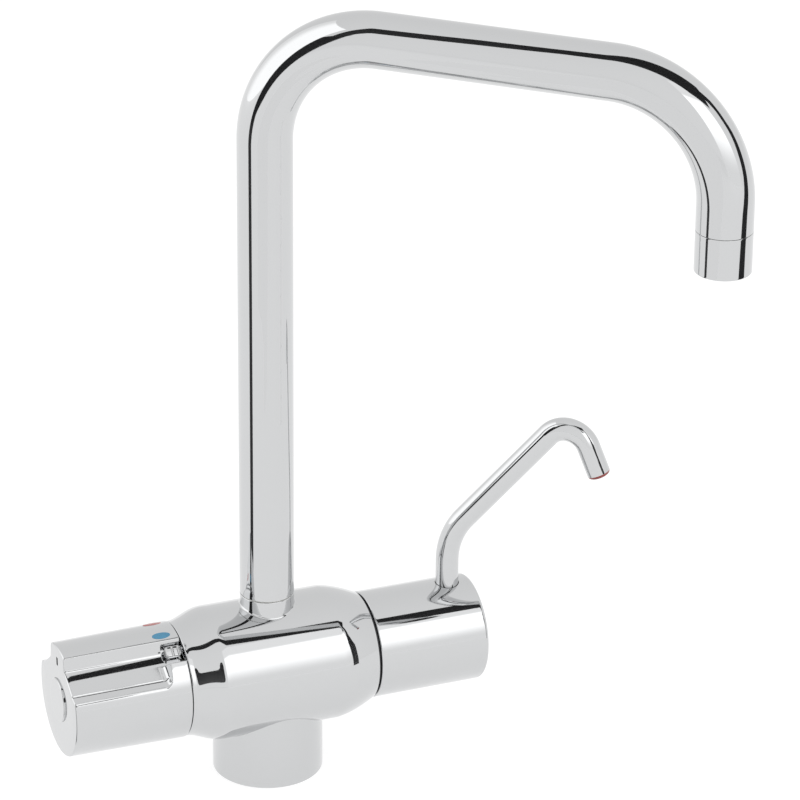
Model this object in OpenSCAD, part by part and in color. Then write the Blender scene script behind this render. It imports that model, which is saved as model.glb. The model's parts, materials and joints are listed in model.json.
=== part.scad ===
// Deck-mounted thermostatic mixer with a tall swivel spout and a small hot-water spout.
// The origin is the centre of the pedestal's underside, on the deck. +X runs along the
// barrel away from the temperature knob, -Y faces the user, +Z is up.

/* [Barrel] */
// Height of the barrel's axis above the deck
axis_h = 51.3; // [48:0.5:58]
// Radius of the barrel's bulge in the middle
body_r = 30.4; // [29.5:0.1:33]
// Distance from the column's axis to the temperature knob's seam
body_left = 44.2; // [44:0.2:47]
// Distance from the column's axis to the flow barrel's seam
body_right = 45; // [44:0.2:48]
// Radius of the body's neck at the temperature knob
neck_left_r = 26; // [25.5:0.1:27.5]
// Radius of the body's neck at the flow barrel
neck_right_r = 25; // [24.2:0.1:26.5]
// Length of each shoulder between the bulge and a neck
shoulder_len = 17.8; // [14:0.2:20]
// Radius of the pedestal that stands on the deck
base_r = 25; // [24.5:0.1:28]

/* [Main spout] */
// Outer radius of the spout tube and of the boss below it
spout_r = 12.2; // [12:0.1:14]
// Wall of the spout tube
spout_wall = 1.2; // [1:0.1:1.5]
// Height of the boss above the top of the bulge
boss_h = 5.6; // [5:0.1:9]
// Height of the top of the spout
spout_top = 368.2; // [330:1:420]
// Distance from the column's axis to the outlet's axis
spout_reach = 204.4; // [180:1:240]
// Bend radius over the column, on the tube's centreline
bend_column_r = 52; // [40:1:60]
// Bend radius over the outlet, on the tube's centreline
bend_outlet_r = 50.6; // [40:1:60]
// Length of the straight leg below the outlet's bend, with the aerator
outlet_leg = 30.2; // [28:0.5:45]
// Height of the aerator housing
aerator_h = 18.3; // [16:0.5:20]
// Angle of the spout from the barrel's axis towards the front, as it stands
spout_turn = 42; // [42:1:43]
// Spout turn left of the place where it stands, which its groove allows
swivel_left = 108; // [60:2:120]
// Spout turn right of the place where it stands, which its groove allows
swivel_right = 12; // [5:1:30]

/* [Temperature knob] */
// Distance from the column's axis to the knob's end face
knob_end = 98.5; // [96:0.5:104]
// Radius of the knob at the seam
knob_seam_r = 26.4; // [26:0.1:27.4]
// Radius of the knob at its end
knob_end_r = 25.8; // [25.4:0.1:26.4]
// Gap between the knob and the body
knob_gap = 0.4; // [0.3:0.1:0.6]
// Turn of the knob's raised ridge from the top towards the back
knob_tilt = 2.5; // [0:0.5:6]
// Distance of each grip groove's floor from the knob's axis
groove_floor = 20.3; // [20.2:0.1:21]
// Half width of a grip groove at its floor
groove_floor_w = 6; // [5:0.5:7]
// Radius of the slight crown across a grip groove's floor
groove_crown_r = 58; // [50:1:90]
// Half width of a grip groove at the knob's surface
groove_top_w = 10.7; // [9.5:0.1:11.5]
// Distance from the column's axis to the inner end of the grip grooves
groove_end = 53; // [52.8:0.1:55]
// Radius of the scoop at the inner end of a groove
scoop_r = 3.5; // [2.5:0.5:4]
// Radius of the cap in the knob's end
cap_r = 10; // [9:0.5:11]
// Height of that cap above the knob's end face
cap_proud = 0.8; // [0.5:0.1:1.2]
// Knob turn towards cold
turn_cold = 165; // [120:5:165]
// Knob turn towards hot
turn_hot = 105; // [60:5:105]
// Width of the safety button
button_w = 4.9; // [4.6:0.1:5.4]
// Length of the safety button
button_l = 7.6; // [6:0.1:7.8]
// Travel of the safety button
button_travel = 2; // [2:0.1:2.6]

/* [Flow barrel] */
// Radius of the flow barrel
barrel_r = 24.4; // [24:0.1:26]
// Wall of the flow barrel
barrel_wall = 3.9; // [3.2:0.1:4]
// Distance from the column's axis to the flow barrel's end face
barrel_end = 98.5; // [97:0.5:104]
// Gap between the flow barrel and the body
barrel_gap = 1.3; // [1:0.1:2]
// Distance from the column's axis to the small spout's axis
small_x = 87.2; // [84:0.2:87.4]

/* [Small spout] */
// Outer radius of the small spout's tube
small_r = 5.25; // [5:0.05:5.5]
// Wall of the small spout's tube
small_wall = 1.2; // [0.9:0.1:1.3]
// Height above the flow barrel's top where the small spout's first bend starts
small_bend_h = 11.3; // [9:0.1:20]
// Radius of the first bend, on the centreline
small_bend_r = 36.5; // [20:0.5:40]
// Slope of the small spout's straight run above the horizontal
small_slope = 51; // [40:1:60]
// Length of the straight run
small_run = 61.5; // [45:0.5:70]
// Radius of the hook at its top, on the centreline
small_hook_r = 11; // [10:0.5:16]
// Slope of the small spout's end below the horizontal
small_drop = 67; // [55:1:75]
// Length of the straight end
small_tail = 13; // [11:0.5:20]

/* [Thermostatic cartridge] */
// Radius of the bore for the cartridge
cart_bore_r = 19; // [18.5:0.1:19.5]
// Distance from the column's axis to the bottom of that bore
cart_floor = 12; // [11.5:0.1:12.5]
// Radius of the bore inside the cartridge
shuttle_bore_r = 11; // [10.5:0.1:11.4]
// Radius of the temperature spindle
temp_spindle_r = 6.4; // [5.5:0.1:7]
// Lift of the regulating unit for one turn of the knob
lift_pitch = 2; // [1:0.1:2]

/* [Flow headwork] */
// Radius of the bore for the headwork
head_bore_r = 13; // [12.5:0.1:13.5]
// Distance from the column's axis to the bottom of that bore
head_floor = 16; // [15:0.5:16.5]
// Radius of the ceramic discs
disc_r = 7.9; // [7:0.1:8.5]
// Radius of the flow spindle
flow_spindle_r = 5; // [4.5:0.1:5.5]

/* [Fixings under the deck] */
// Radius of the threaded inlets for hoses, M10
inlet_r = 5; // [5:0.1:5.2]
// Depth of the thread in each inlet
inlet_depth = 12; // [10:0.5:12]
// Radius of the threaded hole for the fixing stud, M8
stud_hole_r = 4; // [3:0.1:4]
// Depth of the stud's hole
stud_depth = 18; // [12:1:20]

/* [Clearances] */
// Radial clearance of a part that turns or slides
run_gap = 0.1; // [0.06:0.01:0.12]
// Clearance of parts that are fitted together and stay
fit_gap = 0.05; // [0.03:0.01:0.08]

/* [Hidden] */
$fn = 96;

CHROME = [0.82, 0.83, 0.84];
BRASS = [0.80, 0.66, 0.36];
STEEL = [0.62, 0.63, 0.65];
BLACK = [0.10, 0.10, 0.11];
WHITE = [0.90, 0.90, 0.88];
CERAMIC = [0.93, 0.91, 0.86];
RED = [0.72, 0.16, 0.12];
BLUE = [0.18, 0.50, 0.68];

eps = 0.01;
past = 1;

// Round edges of the turned chromium-plated parts
edge_r = 0.5;
knob_edge_r = 0.9;
barrel_edge_r = 1.4;
shoulder_left_power = 1.1;
shoulder_right_power = 1.6;
shoulder_steps = 24;

// Spout socket in the boss and the tail in it
boss_top = axis_h + body_r + boss_h;
socket_wall = 3;
socket_r = spout_r - socket_wall;
socket_depth = 24.8;
socket_floor = boss_top - socket_depth;
tail_seal_groove_l = 1.8;
tail_seal_groove_depth = 1.5;
tail_seal_wire = 0.75;
tail_seal_at = [6.5, 10.5];
tail_guide_at = 14.5;
tail_guide_l = 3;
tail_guide_depth = 0.9;
tail_r = socket_r - run_gap;
tail_bore_r = 6.2;
tail_bottom = socket_floor + 1.5;
tail_plug_h = 14;
seam_ring_h = 0.5;
spout_foot = boss_top + seam_ring_h;
spout_in_r = spout_r - spout_wall;
arm_z = spout_top - spout_r;
leg_top = arm_z - bend_outlet_r;
outlet_z = leg_top - outlet_leg;
aerator_top = outlet_z + aerator_h;
aerator_in_r = spout_in_r - 0.6;
aerator_spigot_l = 7;
aerator_shelf = 14;
aerator_recess = 2;
aerator_insert_l = 9.6;
aerator_plate = 2;
aerator_rings = 3;
aerator_pitch = 2.35;
aerator_hole_r = 0.75;
aerator_seam = 0.15;
// A tube is a touch thinner where it is bent, and each bend runs into its straights.
bend_thin = 0.03;
bend_lap = 0.3;
lock_z = boss_top - boss_h / 2 - 0.4;
lock_stop_spare = 10;
lock_socket_r = 1.1;
lock_socket_depth = 1.6;
lock_r = 2;
lock_tip_r = 1.2;
lock_tip_reach = 1.1;
lock_groove_depth = 1.5;

// Water ways in the body
cross_bore_r = 5;
gallery_z = axis_h - body_r + 6.6;
gallery_r = 2.6;
riser_r = 2.4;
riser_top = axis_h - 8;
mixed_gallery_r = 3.4;

// Cartridge, measured from the column's axis along the barrel to the left
land_l = 4.5;
port_l = 5;
port_groove = 3;
cold_port = cart_floor + land_l + port_l / 2;
hot_port = cold_port + land_l + port_l;
sleeve_end = hot_port + port_l / 2 + land_l;
sleeve_head_r = 12;
sleeve_head_l = 5.8;
sleeve_head_end = body_left + sleeve_head_l;
sleeve_r = cart_bore_r - run_gap;
seal_wire = 0.83;
seal_groove = 1.7;
window_l = port_l - 1.4;
window_w = 6;
screen_r = cart_bore_r - port_groove;
screen_wall = 0.85;
screen_slots = 20;
screen_slot_w = 1.6;
screen_rim = 0.9;
bore_top = sleeve_end + 0.2;
spindle_flange_l = 1.7;
spindle_foot = bore_top - run_gap - spindle_flange_l;
lift_room = lift_pitch * (turn_cold + turn_hot) / 360 + 2 * run_gap;
lift_flange_l = 1.8;
lift_low = spindle_foot - lift_room - lift_flange_l;
lift_core_r = 3.9;
ear_r = shuttle_bore_r + 1.3;
ear_w = 4;
lift_flange_r = shuttle_bore_r - 1.5;
lift_l = 10.5;
spindle_flange_r = shuttle_bore_r - 2;
spindle_bore_l = lift_l + 0.5;
spindle_seal_at = sleeve_end + 5.9;
spindle_seal_groove_l = 1.8;
spindle_seal_groove_depth = 1.4;
spindle_seal_wire = 0.7;
wax_r = 5.5;
wax_collar_r = wax_r + 1.4;
wax_collar_l = 1.2;
wax_stem_r = 2;
wax_end = lift_low - 2.4;
wax_start = cart_floor + 3;
shuttle_wall = 1.9;
shuttle_r = shuttle_bore_r - run_gap;
shuttle_start = cold_port + 1.5;
shuttle_end = hot_port - 1.5;
shuttle_web_l = 2;
shuttle_web = (cold_port + hot_port - shuttle_web_l) / 2;
shuttle_holes = 6;
shuttle_hole_r = 1.1;
return_coil_r = wax_r + 1.6;
return_wire = 0.6;
return_turns = 4;
nut_end = body_left - 0.3;
stop_ring_r = 14.2;
stop_lug_r = 16.8;
stop_lug_arc = 45;
nut_key_r = 1.6;
nut_key_depth = 2;
nut_key_at = sleeve_head_r + 3.4;
carrier_lug_arc = 360 - turn_cold - turn_hot - stop_lug_arc - 2;

// Knob
knob_start = body_left + knob_gap;
knob_cavity_r = 17.5;
knob_cavity_end = knob_end - 8.5;
cap_depth = 4.5;
stop_start = knob_start + 0.7;
stop_end = sleeve_head_end - 0.3;
carrier_start = sleeve_head_end + 4;
carrier_hub_r = 9;
carrier_disc_l = 3;
carrier_rib_w = 2;
spline_r = temp_spindle_r - 0.5;
spline_h = 0.35;
spline_w = 1;
spline_teeth = 12;
knob_screw_r = 2;
knob_screw_head_r = 4;
knob_screw_head_h = 2.6;
knob_screw_bite = 12;
cap_wall = 1.4;
cap_roof = 1;
notch_l = 3.6;
notch_w = 1;
notch_depth = 0.5;
notch_in = knob_end_r - 7;
spindle_tip = knob_cavity_end - 4;
groove_angle = 45;
groove_sag = groove_crown_r - sqrt(groove_crown_r * groove_crown_r - groove_floor_w * groove_floor_w);
groove_low = groove_floor - groove_sag;
slot_side = -0.7;
slot_floor = 19.4;
button_t = 5.2;
button_base = slot_floor + button_travel + run_gap;
button_top = 23.8;
button_start = knob_start + 0.4;
button_mid = button_start + button_l / 2;
button_stem_r = 1.4;
button_stem_below = 0.5;
button_corner_r = 1.5;
button_rib_gap_w = 0.9;
button_rib_gap_depth = 0.5;
button_rib_gap_at = [-2.4, 0.3];
button_pocket_gap = 0.4;
button_coil_r = 2.1;
button_wire = 0.25;
button_turns = 3;
mark_mid = knob_start + 7.4;
mark_long = 8.4;
mark_wide = 4.2;
mark_angle = 14;
mark_depth = 0.6;
mark_proud = 0.06;

// Right side, measured from the column's axis along the barrel to the right
barrel_start = body_right + barrel_gap;
barrel_cavity_r = barrel_r - barrel_wall;
barrel_cavity_end = barrel_end - 3.5;
seat_seal_l = 2.4;
disc_l = 3.4;
disc_start = head_floor + seat_seal_l;
moving_start = disc_start + disc_l + 0.05;
foot_start = moving_start + disc_l;
foot_l = 3.6;
head_in_r = disc_r + run_gap;
head_shelf = foot_start + foot_l + 0.3;
head_r = head_bore_r - run_gap;
head_relief = 1.5;
feed_x = head_floor + 20;
feed_groove_l = 6;
head_hex_l = 4.5;
head_face = body_right + head_hex_l;
head_hex_r = 15.4;
head_window_r = 2.4;
head_feed_hole_r = 1.5;
head_seal_at = [feed_x - 4.25, feed_x + 4.35];
flow_seal_at = [feed_x - 3.8, feed_x + 5.8];
flow_seal_wire = 0.68;
flow_seal_groove_l = 1.6;
flow_seal_groove_depth = 1.4;
disc_hole_r = 1.9;
disc_hole_at = 4.4;
disc_key_w = 2.8;
disc_key_l = 1;
disc_key_reach = disc_r - 0.8;
circlip_l = 1;
circlip_depth = 0.75;
circlip_out_r = flow_spindle_r + 1.6;
clip_mouth = 2.4;
neck_out_r = 8;
neck_l = 5;
neck_end = head_face + neck_l;
spindle_out = 12;
spindle_end = neck_end + spindle_out;
spindle_bore_r = 2;
gap_ring_r = barrel_r - 1.1;
block_r = 9;
block_gap = 4;
block_start = neck_end + block_gap;
block_disc_gap = 5;
block_disc_x = spindle_end + block_disc_gap;
block_disc_l = 8;
block_disc_r = barrel_cavity_r - fit_gap;
tower_r = 7.5;
tower_h = sqrt(barrel_cavity_r * barrel_cavity_r - tower_r * tower_r) - 0.3;
set_screw_r = 2.5;
set_screw_l = 12;
set_screw_key_r = 1.3;
set_screw_key_depth = 2.5;
set_screw_x = block_disc_x + block_disc_l / 2;
set_screw_top = axis_h - block_disc_r + 9;
gap_ring_in_r = head_hex_r + 0.2;
gap_ring_clear = 0.25;

// Small spout's tail in the tower, heights above the barrel's axis
small_hole_gap = 0.25;
small_socket_r = small_r + run_gap;
small_clip_z = tower_h - 3;
small_clip_l = 1;
small_clip_r = small_r + 1;
small_clip_depth = 0.5;
small_clip_gap = 0.2;
small_seal_at = [small_clip_z - 5.05, small_clip_z - 1.65];
small_seal_groove_l = 1.5;
small_foot_z = small_clip_z - 8.8;
small_socket_z = small_foot_z - 1;
small_bore_r = 3;
small_bend_z = axis_h + barrel_r + small_bend_h;
small_in_r = small_r - small_wall;
small_groove = 0.7;
small_seal_wire = 0.33;
nozzle_r = small_r - 0.15;
nozzle_h = 1.8;
nozzle_round = 2.8;
nozzle_plug_l = 6;
nozzle_bore_r = 2.2;

// Inlets in the pedestal
cold_at = [-5, -9];
hot_at = [-5, 9];
feed_at = [9, 6];
stud_at = [9, -6];
check_r = 4.5;
check_start = inlet_depth + 0.5;
check_l = 12;
check_end = check_start + check_l;
check_in_r = 3.3;
check_throat_r = 2;
check_seat_l = 1.4;
check_guide_z = check_end - 3.4;
check_guide_l = 1.2;
check_guide_r = 2;
check_spokes = 6;
check_spoke_w = 1;
poppet_r = 2.7;
poppet_l = 1.2;
poppet_z = check_start + check_seat_l + fit_gap;
poppet_stem_r = 1;
poppet_stem_l = check_l - 3.6;
check_coil_r = 1.75;
check_wire = 0.25;
check_turns = 4;
gasket_in_r = 20.6;
gasket_w = 2.6;
gasket_h = 1.6;

// Frames: left() has +Z along the barrel to the knob and +X up; right() has +Z along
// the barrel to the flow barrel and +X up.
module left(u = 0) { translate([-u, 0, axis_h]) rotate([0, -90, 0]) children(); }
module right(x = 0) { translate([x, 0, axis_h]) rotate([0, 90, 0]) rotate(180) children(); }
module spout_frame() { rotate(-spout_turn) children(); }
module small_frame() { translate([small_x, 0, axis_h]) rotate(-spout_turn) children(); }

module tube(ro, ri, h) {
    difference() {
        cylinder(r = ro, h = h);
        translate([0, 0, -past]) cylinder(r = ri, h = h + 2 * past);
    }
}

// A disc or shaft with a round edge at its far end
module round_end(r, h, e) {
    rotate_extrude() polygon(concat(
        [[0, 0], [r, 0]],
        [for (a = [0:15:90]) [r - e + e * cos(a), h - e + e * sin(a)]],
        [[0, h]]));
}

module seal(r, wire) { rotate_extrude() translate([r, 0]) circle(r = wire, $fn = 24); }

module sector(ro, ri, h, from, arc) {
    rotate(from) rotate_extrude(angle = arc) translate([ri, 0]) square([ro - ri, h]);
}

module rounded_rect(l, w, r) {
    square([l - 2 * r, w], center = true);
    square([l, w - 2 * r], center = true);
    for (x = [-1, 1], y = [-1, 1])
        translate([x * (l / 2 - r), y * (w / 2 - r)]) circle(r = r, $fn = 32);
}

// A coil spring with flat-lying ends, wound along +Z from z = 0 to z = length
function coil_point(r, length, wire, turns, t) =
    [r * cos(360 * turns * t), r * sin(360 * turns * t),
     wire + (length - 2 * wire) * t];
module coil(r, wire, turns, length, sides = 8, steps = 20) {
    n = turns * steps;
    points = [for (i = [0:n]) let (
            c = coil_point(r, length, wire, turns, i / n),
            a = 360 * turns * i / n)
        for (k = [0:sides - 1]) let (b = 360 * k / sides)
            c + [wire * cos(b) * cos(a), wire * cos(b) * sin(a), wire * sin(b)]];
    faces = concat(
        [for (i = [0:n - 1], k = [0:sides - 1]) let (m = (k + 1) % sides)
            [i * sides + k, i * sides + m, (i + 1) * sides + m]],
        [for (i = [0:n - 1], k = [0:sides - 1]) let (m = (k + 1) % sides)
            [i * sides + k, (i + 1) * sides + m, (i + 1) * sides + k]],
        [for (k = [1:sides - 2]) [0, k + 1, k]],
        [for (k = [1:sides - 2]) [n * sides, n * sides + k, n * sides + k + 1]]);
    polyhedron(points = points, faces = faces);
}

// Body casting
// Each shoulder's share of the bulge's height, from 1 at the bulge to 0 at the neck: the
// left one flows into its neck, and the right one falls ever more steeply to its edge.
function shoulder_left(t) = 0.5 + 0.5 * cos(180 * pow(t, shoulder_left_power));
function shoulder_right(t) = 1 - pow(t, shoulder_right_power);
module barrel_form() {
    rotate_extrude() polygon(concat(
        [[0, -body_left], [neck_left_r - edge_r, -body_left]],
        [for (i = [0:shoulder_steps]) let (t = 1 - i / shoulder_steps)
            [neck_left_r + (body_r - neck_left_r) * shoulder_left(t),
             -body_left + edge_r + (shoulder_len - edge_r) * (1 - t)]],
        [for (i = [0:shoulder_steps]) let (t = i / shoulder_steps)
            [neck_right_r + (body_r - neck_right_r) * shoulder_right(t),
             body_right - shoulder_len + (shoulder_len - edge_r) * t]],
        [[neck_right_r - edge_r, body_right], [0, body_right]]));
}

module inlet_bores() {
    for (at = [cold_at, hot_at, feed_at]) translate([at[0], at[1], -past]) {
        cylinder(r = inlet_r, h = inlet_depth + past);
        cylinder(r = check_r, h = gallery_z + past);
    }
    translate([stud_at[0], stud_at[1], -past]) cylinder(r = stud_hole_r, h = stud_depth + past);
}

module galleries() {
    for (g = [[cold_at, cold_port, -1], [hot_at, hot_port, -1], [feed_at, feed_x, 1]]) {
        start = g[0][0];
        end = g[2] * g[1];
        translate([min(start, end), g[0][1], gallery_z])
            rotate([0, 90, 0]) cylinder(r = gallery_r, h = abs(end - start));
        translate([end, g[0][1], gallery_z]) cylinder(r = riser_r, h = riser_top - gallery_z);
    }
    translate([0, 0, socket_floor]) rotate([0, 90, 0])
        cylinder(r = mixed_gallery_r, h = moving_start);
}

module mixer_body() {
    color(CHROME) difference() {
        union() {
            right() rotate(180) barrel_form();
            cylinder(r = base_r, h = axis_h);
            translate([0, 0, axis_h]) cylinder(r = spout_r, h = boss_top - axis_h);
        }
        left(cart_floor) cylinder(r = cart_bore_r, h = body_left);
        right(head_floor) cylinder(r = head_bore_r, h = body_right);
        left(-head_floor - past) cylinder(r = cross_bore_r, h = cart_floor + head_floor + 2 * past);
        translate([0, 0, socket_floor]) cylinder(r = socket_r, h = boss_top);
        translate([0, spout_r + past, lock_z]) rotate([90, 0, 0])
            cylinder(r = lock_r, h = socket_wall + 2 * past + 1);
        inlet_bores();
        galleries();
        translate([0, 0, -past]) tube(gasket_in_r + gasket_w, gasket_in_r, gasket_h + past);
    }
}

module base_gasket() { color(BLACK) tube(gasket_in_r + gasket_w, gasket_in_r, gasket_h); }

// Non-return valves in the two inlets
module check_housing() {
    difference() {
        translate([0, 0, check_start]) cylinder(r = check_r - fit_gap, h = check_l);
        translate([0, 0, check_start - past]) cylinder(r = check_throat_r, h = check_l);
        translate([0, 0, check_start + check_seat_l]) cylinder(r = check_in_r, h = check_l);
    }
    translate([0, 0, check_guide_z]) difference() {
        union() {
            cylinder(r = check_guide_r, h = check_guide_l);
            for (i = [0:check_spokes - 1]) rotate(i * 360 / check_spokes)
                translate([0, -check_spoke_w / 2, 0])
                    cube([check_in_r + 0.1, check_spoke_w, check_guide_l]);
        }
        translate([0, 0, -past]) cylinder(r = poppet_stem_r + run_gap, h = check_guide_l + 2 * past);
    }
}
module check_valve_housings() {
    color(WHITE) for (at = [cold_at, hot_at]) translate([at[0], at[1], 0]) check_housing();
}
module check_poppet() {
    translate([0, 0, poppet_z]) {
        cylinder(r = poppet_r, h = poppet_l);
        cylinder(r = poppet_stem_r, h = poppet_stem_l);
    }
}
module check_spring() {
    low = poppet_z + poppet_l + fit_gap;
    translate([0, 0, low])
        coil(check_coil_r, check_wire, check_turns, check_guide_z - fit_gap - low, 6, 16);
}
module cold_check_poppet() { color(WHITE) translate([cold_at[0], cold_at[1], 0]) check_poppet(); }
module hot_check_poppet() { color(WHITE) translate([hot_at[0], hot_at[1], 0]) check_poppet(); }
module cold_check_spring() { color(STEEL) translate([cold_at[0], cold_at[1], 0]) check_spring(); }
module hot_check_spring() { color(STEEL) translate([hot_at[0], hot_at[1], 0]) check_spring(); }

// Thermostatic cartridge
module cartridge_sleeve() {
    color(WHITE) difference() {
        union() {
            left(cart_floor) cylinder(r = sleeve_r, h = sleeve_end - cart_floor);
            left(sleeve_end - past) cylinder(r = sleeve_head_r, h = sleeve_head_end - sleeve_end + past);
        }
        for (port = [cold_port, hot_port]) {
            left(port - port_l / 2) tube(sleeve_r + past, screen_r, port_l);
            for (a = [45:90:315]) left(port) rotate(a)
                translate([shuttle_bore_r - past, -window_w / 2, -window_l / 2])
                    cube([cart_bore_r, window_w, window_l]);
        }
        for (land = [cart_floor, cold_port + port_l / 2, hot_port + port_l / 2])
            left(land + (land_l - seal_groove) / 2)
                tube(sleeve_r + past, sleeve_r - seal_groove, seal_groove);
        left(cart_floor - past) cylinder(r = shuttle_bore_r, h = bore_top - cart_floor + past);
        left(lift_low - lift_room) for (a = [90, 270]) rotate(a)
            translate([0, -ear_w / 2 - run_gap, 0])
                cube([ear_r + 2 * run_gap, ear_w + 2 * run_gap, spindle_foot - lift_low + lift_room]);
        left(bore_top - past) cylinder(r = temp_spindle_r + run_gap, h = sleeve_head_end);
    }
}
module cartridge_seals() {
    color(BLACK) for (land = [cart_floor, cold_port + port_l / 2, hot_port + port_l / 2])
        left(land + land_l / 2) seal(sleeve_r - seal_wire - 0.01, seal_wire);
}
module port_screens() {
    color(STEEL) for (port = [cold_port, hot_port]) left(port - port_l / 2 + run_gap) difference() {
        tube(screen_r + fit_gap + screen_wall, screen_r + fit_gap, port_l - 2 * run_gap);
        for (i = [0:screen_slots - 1]) rotate(i * 360 / screen_slots)
            translate([screen_r - past, -screen_slot_w / 2, screen_rim])
                cube([screen_wall + 2 * past, screen_slot_w, port_l - 2 * run_gap - 2 * screen_rim]);
    }
}
module mixing_shuttle() {
    color(WHITE) difference() {
        union() {
            left(shuttle_start) tube(shuttle_r, shuttle_r - shuttle_wall, shuttle_end - shuttle_start);
            left(shuttle_web) tube(shuttle_r - shuttle_wall / 2, wax_r + fit_gap, shuttle_web_l);
        }
        for (i = [0:shuttle_holes - 1]) left(shuttle_web - past) rotate(i * 360 / shuttle_holes)
            translate([(wax_r + shuttle_r - shuttle_wall) / 2, 0, 0])
                cylinder(r = shuttle_hole_r, h = shuttle_web_l + 2 * past, $fn = 24);
    }
}
module wax_element() {
    color(BRASS) {
        left(wax_start) cylinder(r = wax_r, h = wax_end - wax_start);
        left(shuttle_web + shuttle_web_l + fit_gap) cylinder(r = wax_collar_r, h = wax_collar_l);
        left(wax_end - eps) cylinder(r = wax_stem_r, h = lift_low - wax_end + eps);
    }
}
module lift_screw() {
    color(BRASS) left(lift_low) {
        cylinder(r = lift_flange_r, h = lift_flange_l);
        for (a = [90, 270]) rotate(a) translate([lift_core_r - past, -ear_w / 2, 0])
            cube([ear_r - lift_core_r + past, ear_w, lift_flange_l]);
        cylinder(r = lift_core_r, h = lift_l);
    }
}
module return_spring() {
    color(STEEL) left(cart_floor + fit_gap)
        coil(return_coil_r, return_wire, return_turns, shuttle_web - cart_floor - 2 * fit_gap);
}
module temperature_spindle() {
    color(BRASS) difference() {
        union() {
            left(spindle_foot) cylinder(r = spindle_flange_r, h = spindle_flange_l);
            left(spindle_foot) cylinder(r = temp_spindle_r, h = sleeve_head_end - spindle_foot);
            left(sleeve_head_end - past) cylinder(r = spline_r, h = spindle_tip - sleeve_head_end + past);
            for (i = [0:spline_teeth - 1]) left(carrier_start) rotate(i * 360 / spline_teeth)
                translate([spline_r - spline_h, -spline_w / 2, 0])
                    cube([2 * spline_h, spline_w, spindle_tip - carrier_start]);
        }
        left(spindle_foot - past) cylinder(r = lift_core_r + run_gap, h = spindle_bore_l + past);
        left(spindle_seal_at - spindle_seal_groove_l / 2)
            tube(temp_spindle_r + past, temp_spindle_r - spindle_seal_groove_depth, spindle_seal_groove_l);
        left(spindle_tip - knob_screw_bite - past) cylinder(r = knob_screw_r, h = 2 * knob_screw_bite);
    }
}
module temperature_spindle_seal() {
    color(BLACK) left(spindle_seal_at) seal(temp_spindle_r + 0.05 - spindle_seal_wire, spindle_seal_wire);
}
module temperature_stop_ring() {
    color(WHITE) left(stop_start) {
        tube(stop_ring_r, sleeve_head_r + fit_gap, stop_end - stop_start);
        // The lug is met by the carrier's lug at each end of the knob's turn.
        sector(stop_lug_r, stop_ring_r - 0.5, stop_end - stop_start,
            turn_cold + 1 + carrier_lug_arc / 2, stop_lug_arc);
    }
}
module cartridge_nut() {
    color(BRASS) difference() {
        left(sleeve_end) cylinder(r = cart_bore_r - fit_gap, h = nut_end - sleeve_end);
        left(sleeve_end - past) cylinder(r = sleeve_head_r + fit_gap, h = nut_end - sleeve_end + 2 * past);
        for (a = [45:90:315]) left(nut_end - nut_key_depth) rotate(a) translate([nut_key_at, 0, 0])
            cylinder(r = nut_key_r, h = nut_key_depth + past, $fn = 32);
    }
}

// Temperature knob
module knob_form() {
    length = knob_end - knob_start;
    rotate_extrude() polygon(concat(
        [[0, 0], [knob_seam_r - edge_r, 0], [knob_seam_r, edge_r]],
        [for (a = [0:15:90]) [knob_end_r - knob_edge_r * (1 - cos(a)),
                              length - knob_edge_r * (1 - sin(a))]],
        [[0, length]]));
}
module groove_section() {
    big = knob_seam_r + 4;
    polygon([[groove_low, -groove_floor_w], [groove_low, groove_floor_w],
             [sqrt(knob_seam_r * knob_seam_r - groove_top_w * groove_top_w), groove_top_w],
             [big, groove_top_w], [big, -groove_top_w],
             [sqrt(knob_seam_r * knob_seam_r - groove_top_w * groove_top_w), -groove_top_w]]);
}
module groove_prism(from, length) {
    difference() {
        translate([0, 0, from]) linear_extrude(length) groove_section();
        translate([groove_floor - groove_crown_r, 0, from - past])
            cylinder(r = groove_crown_r, h = length + 2 * past);
    }
}
// The long groove, from the scoop at its inner end to the knob's end face
module grip_groove() {
    far = knob_end + past;
    intersection() {
        groove_prism(groove_end - past, far - groove_end + past);
        rotate([90, 0, 0]) linear_extrude(3 * groove_top_w, center = true) polygon(concat(
            [for (a = [0:10:90]) [groove_low + scoop_r * (1 - cos(a)),
                                  groove_end + scoop_r * (1 - sin(a))]],
            [[knob_seam_r + 5, groove_end], [knob_seam_r + 5, far], [groove_low, far]]));
    }
}
// The upper part of the front groove runs on to the seam, and the button stands in it.
module button_slot() {
    intersection() {
        groove_prism(knob_start - past, groove_end + scoop_r - knob_start + past);
        translate([groove_low - past, slot_side, 0]) cube([knob_seam_r, knob_seam_r, 2 * knob_end]);
    }
    translate([slot_floor, button_t - button_w / 2 - button_pocket_gap, knob_start - past])
        cube([groove_floor - slot_floor + 3, button_w + 2 * button_pocket_gap, button_l + 1.6 + past]);
}
module front_groove_frame() { left() rotate(knob_tilt - groove_angle) children(); }
module mark(side, high) {
    intersection() {
        left(mark_mid - mark_long) rotate(knob_tilt + side * mark_angle)
            tube(knob_seam_r - 0.08 + high, knob_seam_r - 0.08 - mark_depth, 2 * mark_long);
        left(mark_mid) rotate(knob_tilt + side * mark_angle) rotate([0, 90, 0])
            linear_extrude(2 * knob_seam_r) scale([mark_long / mark_wide, 1])
                circle(d = mark_wide, $fn = 48);
    }
}
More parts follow.
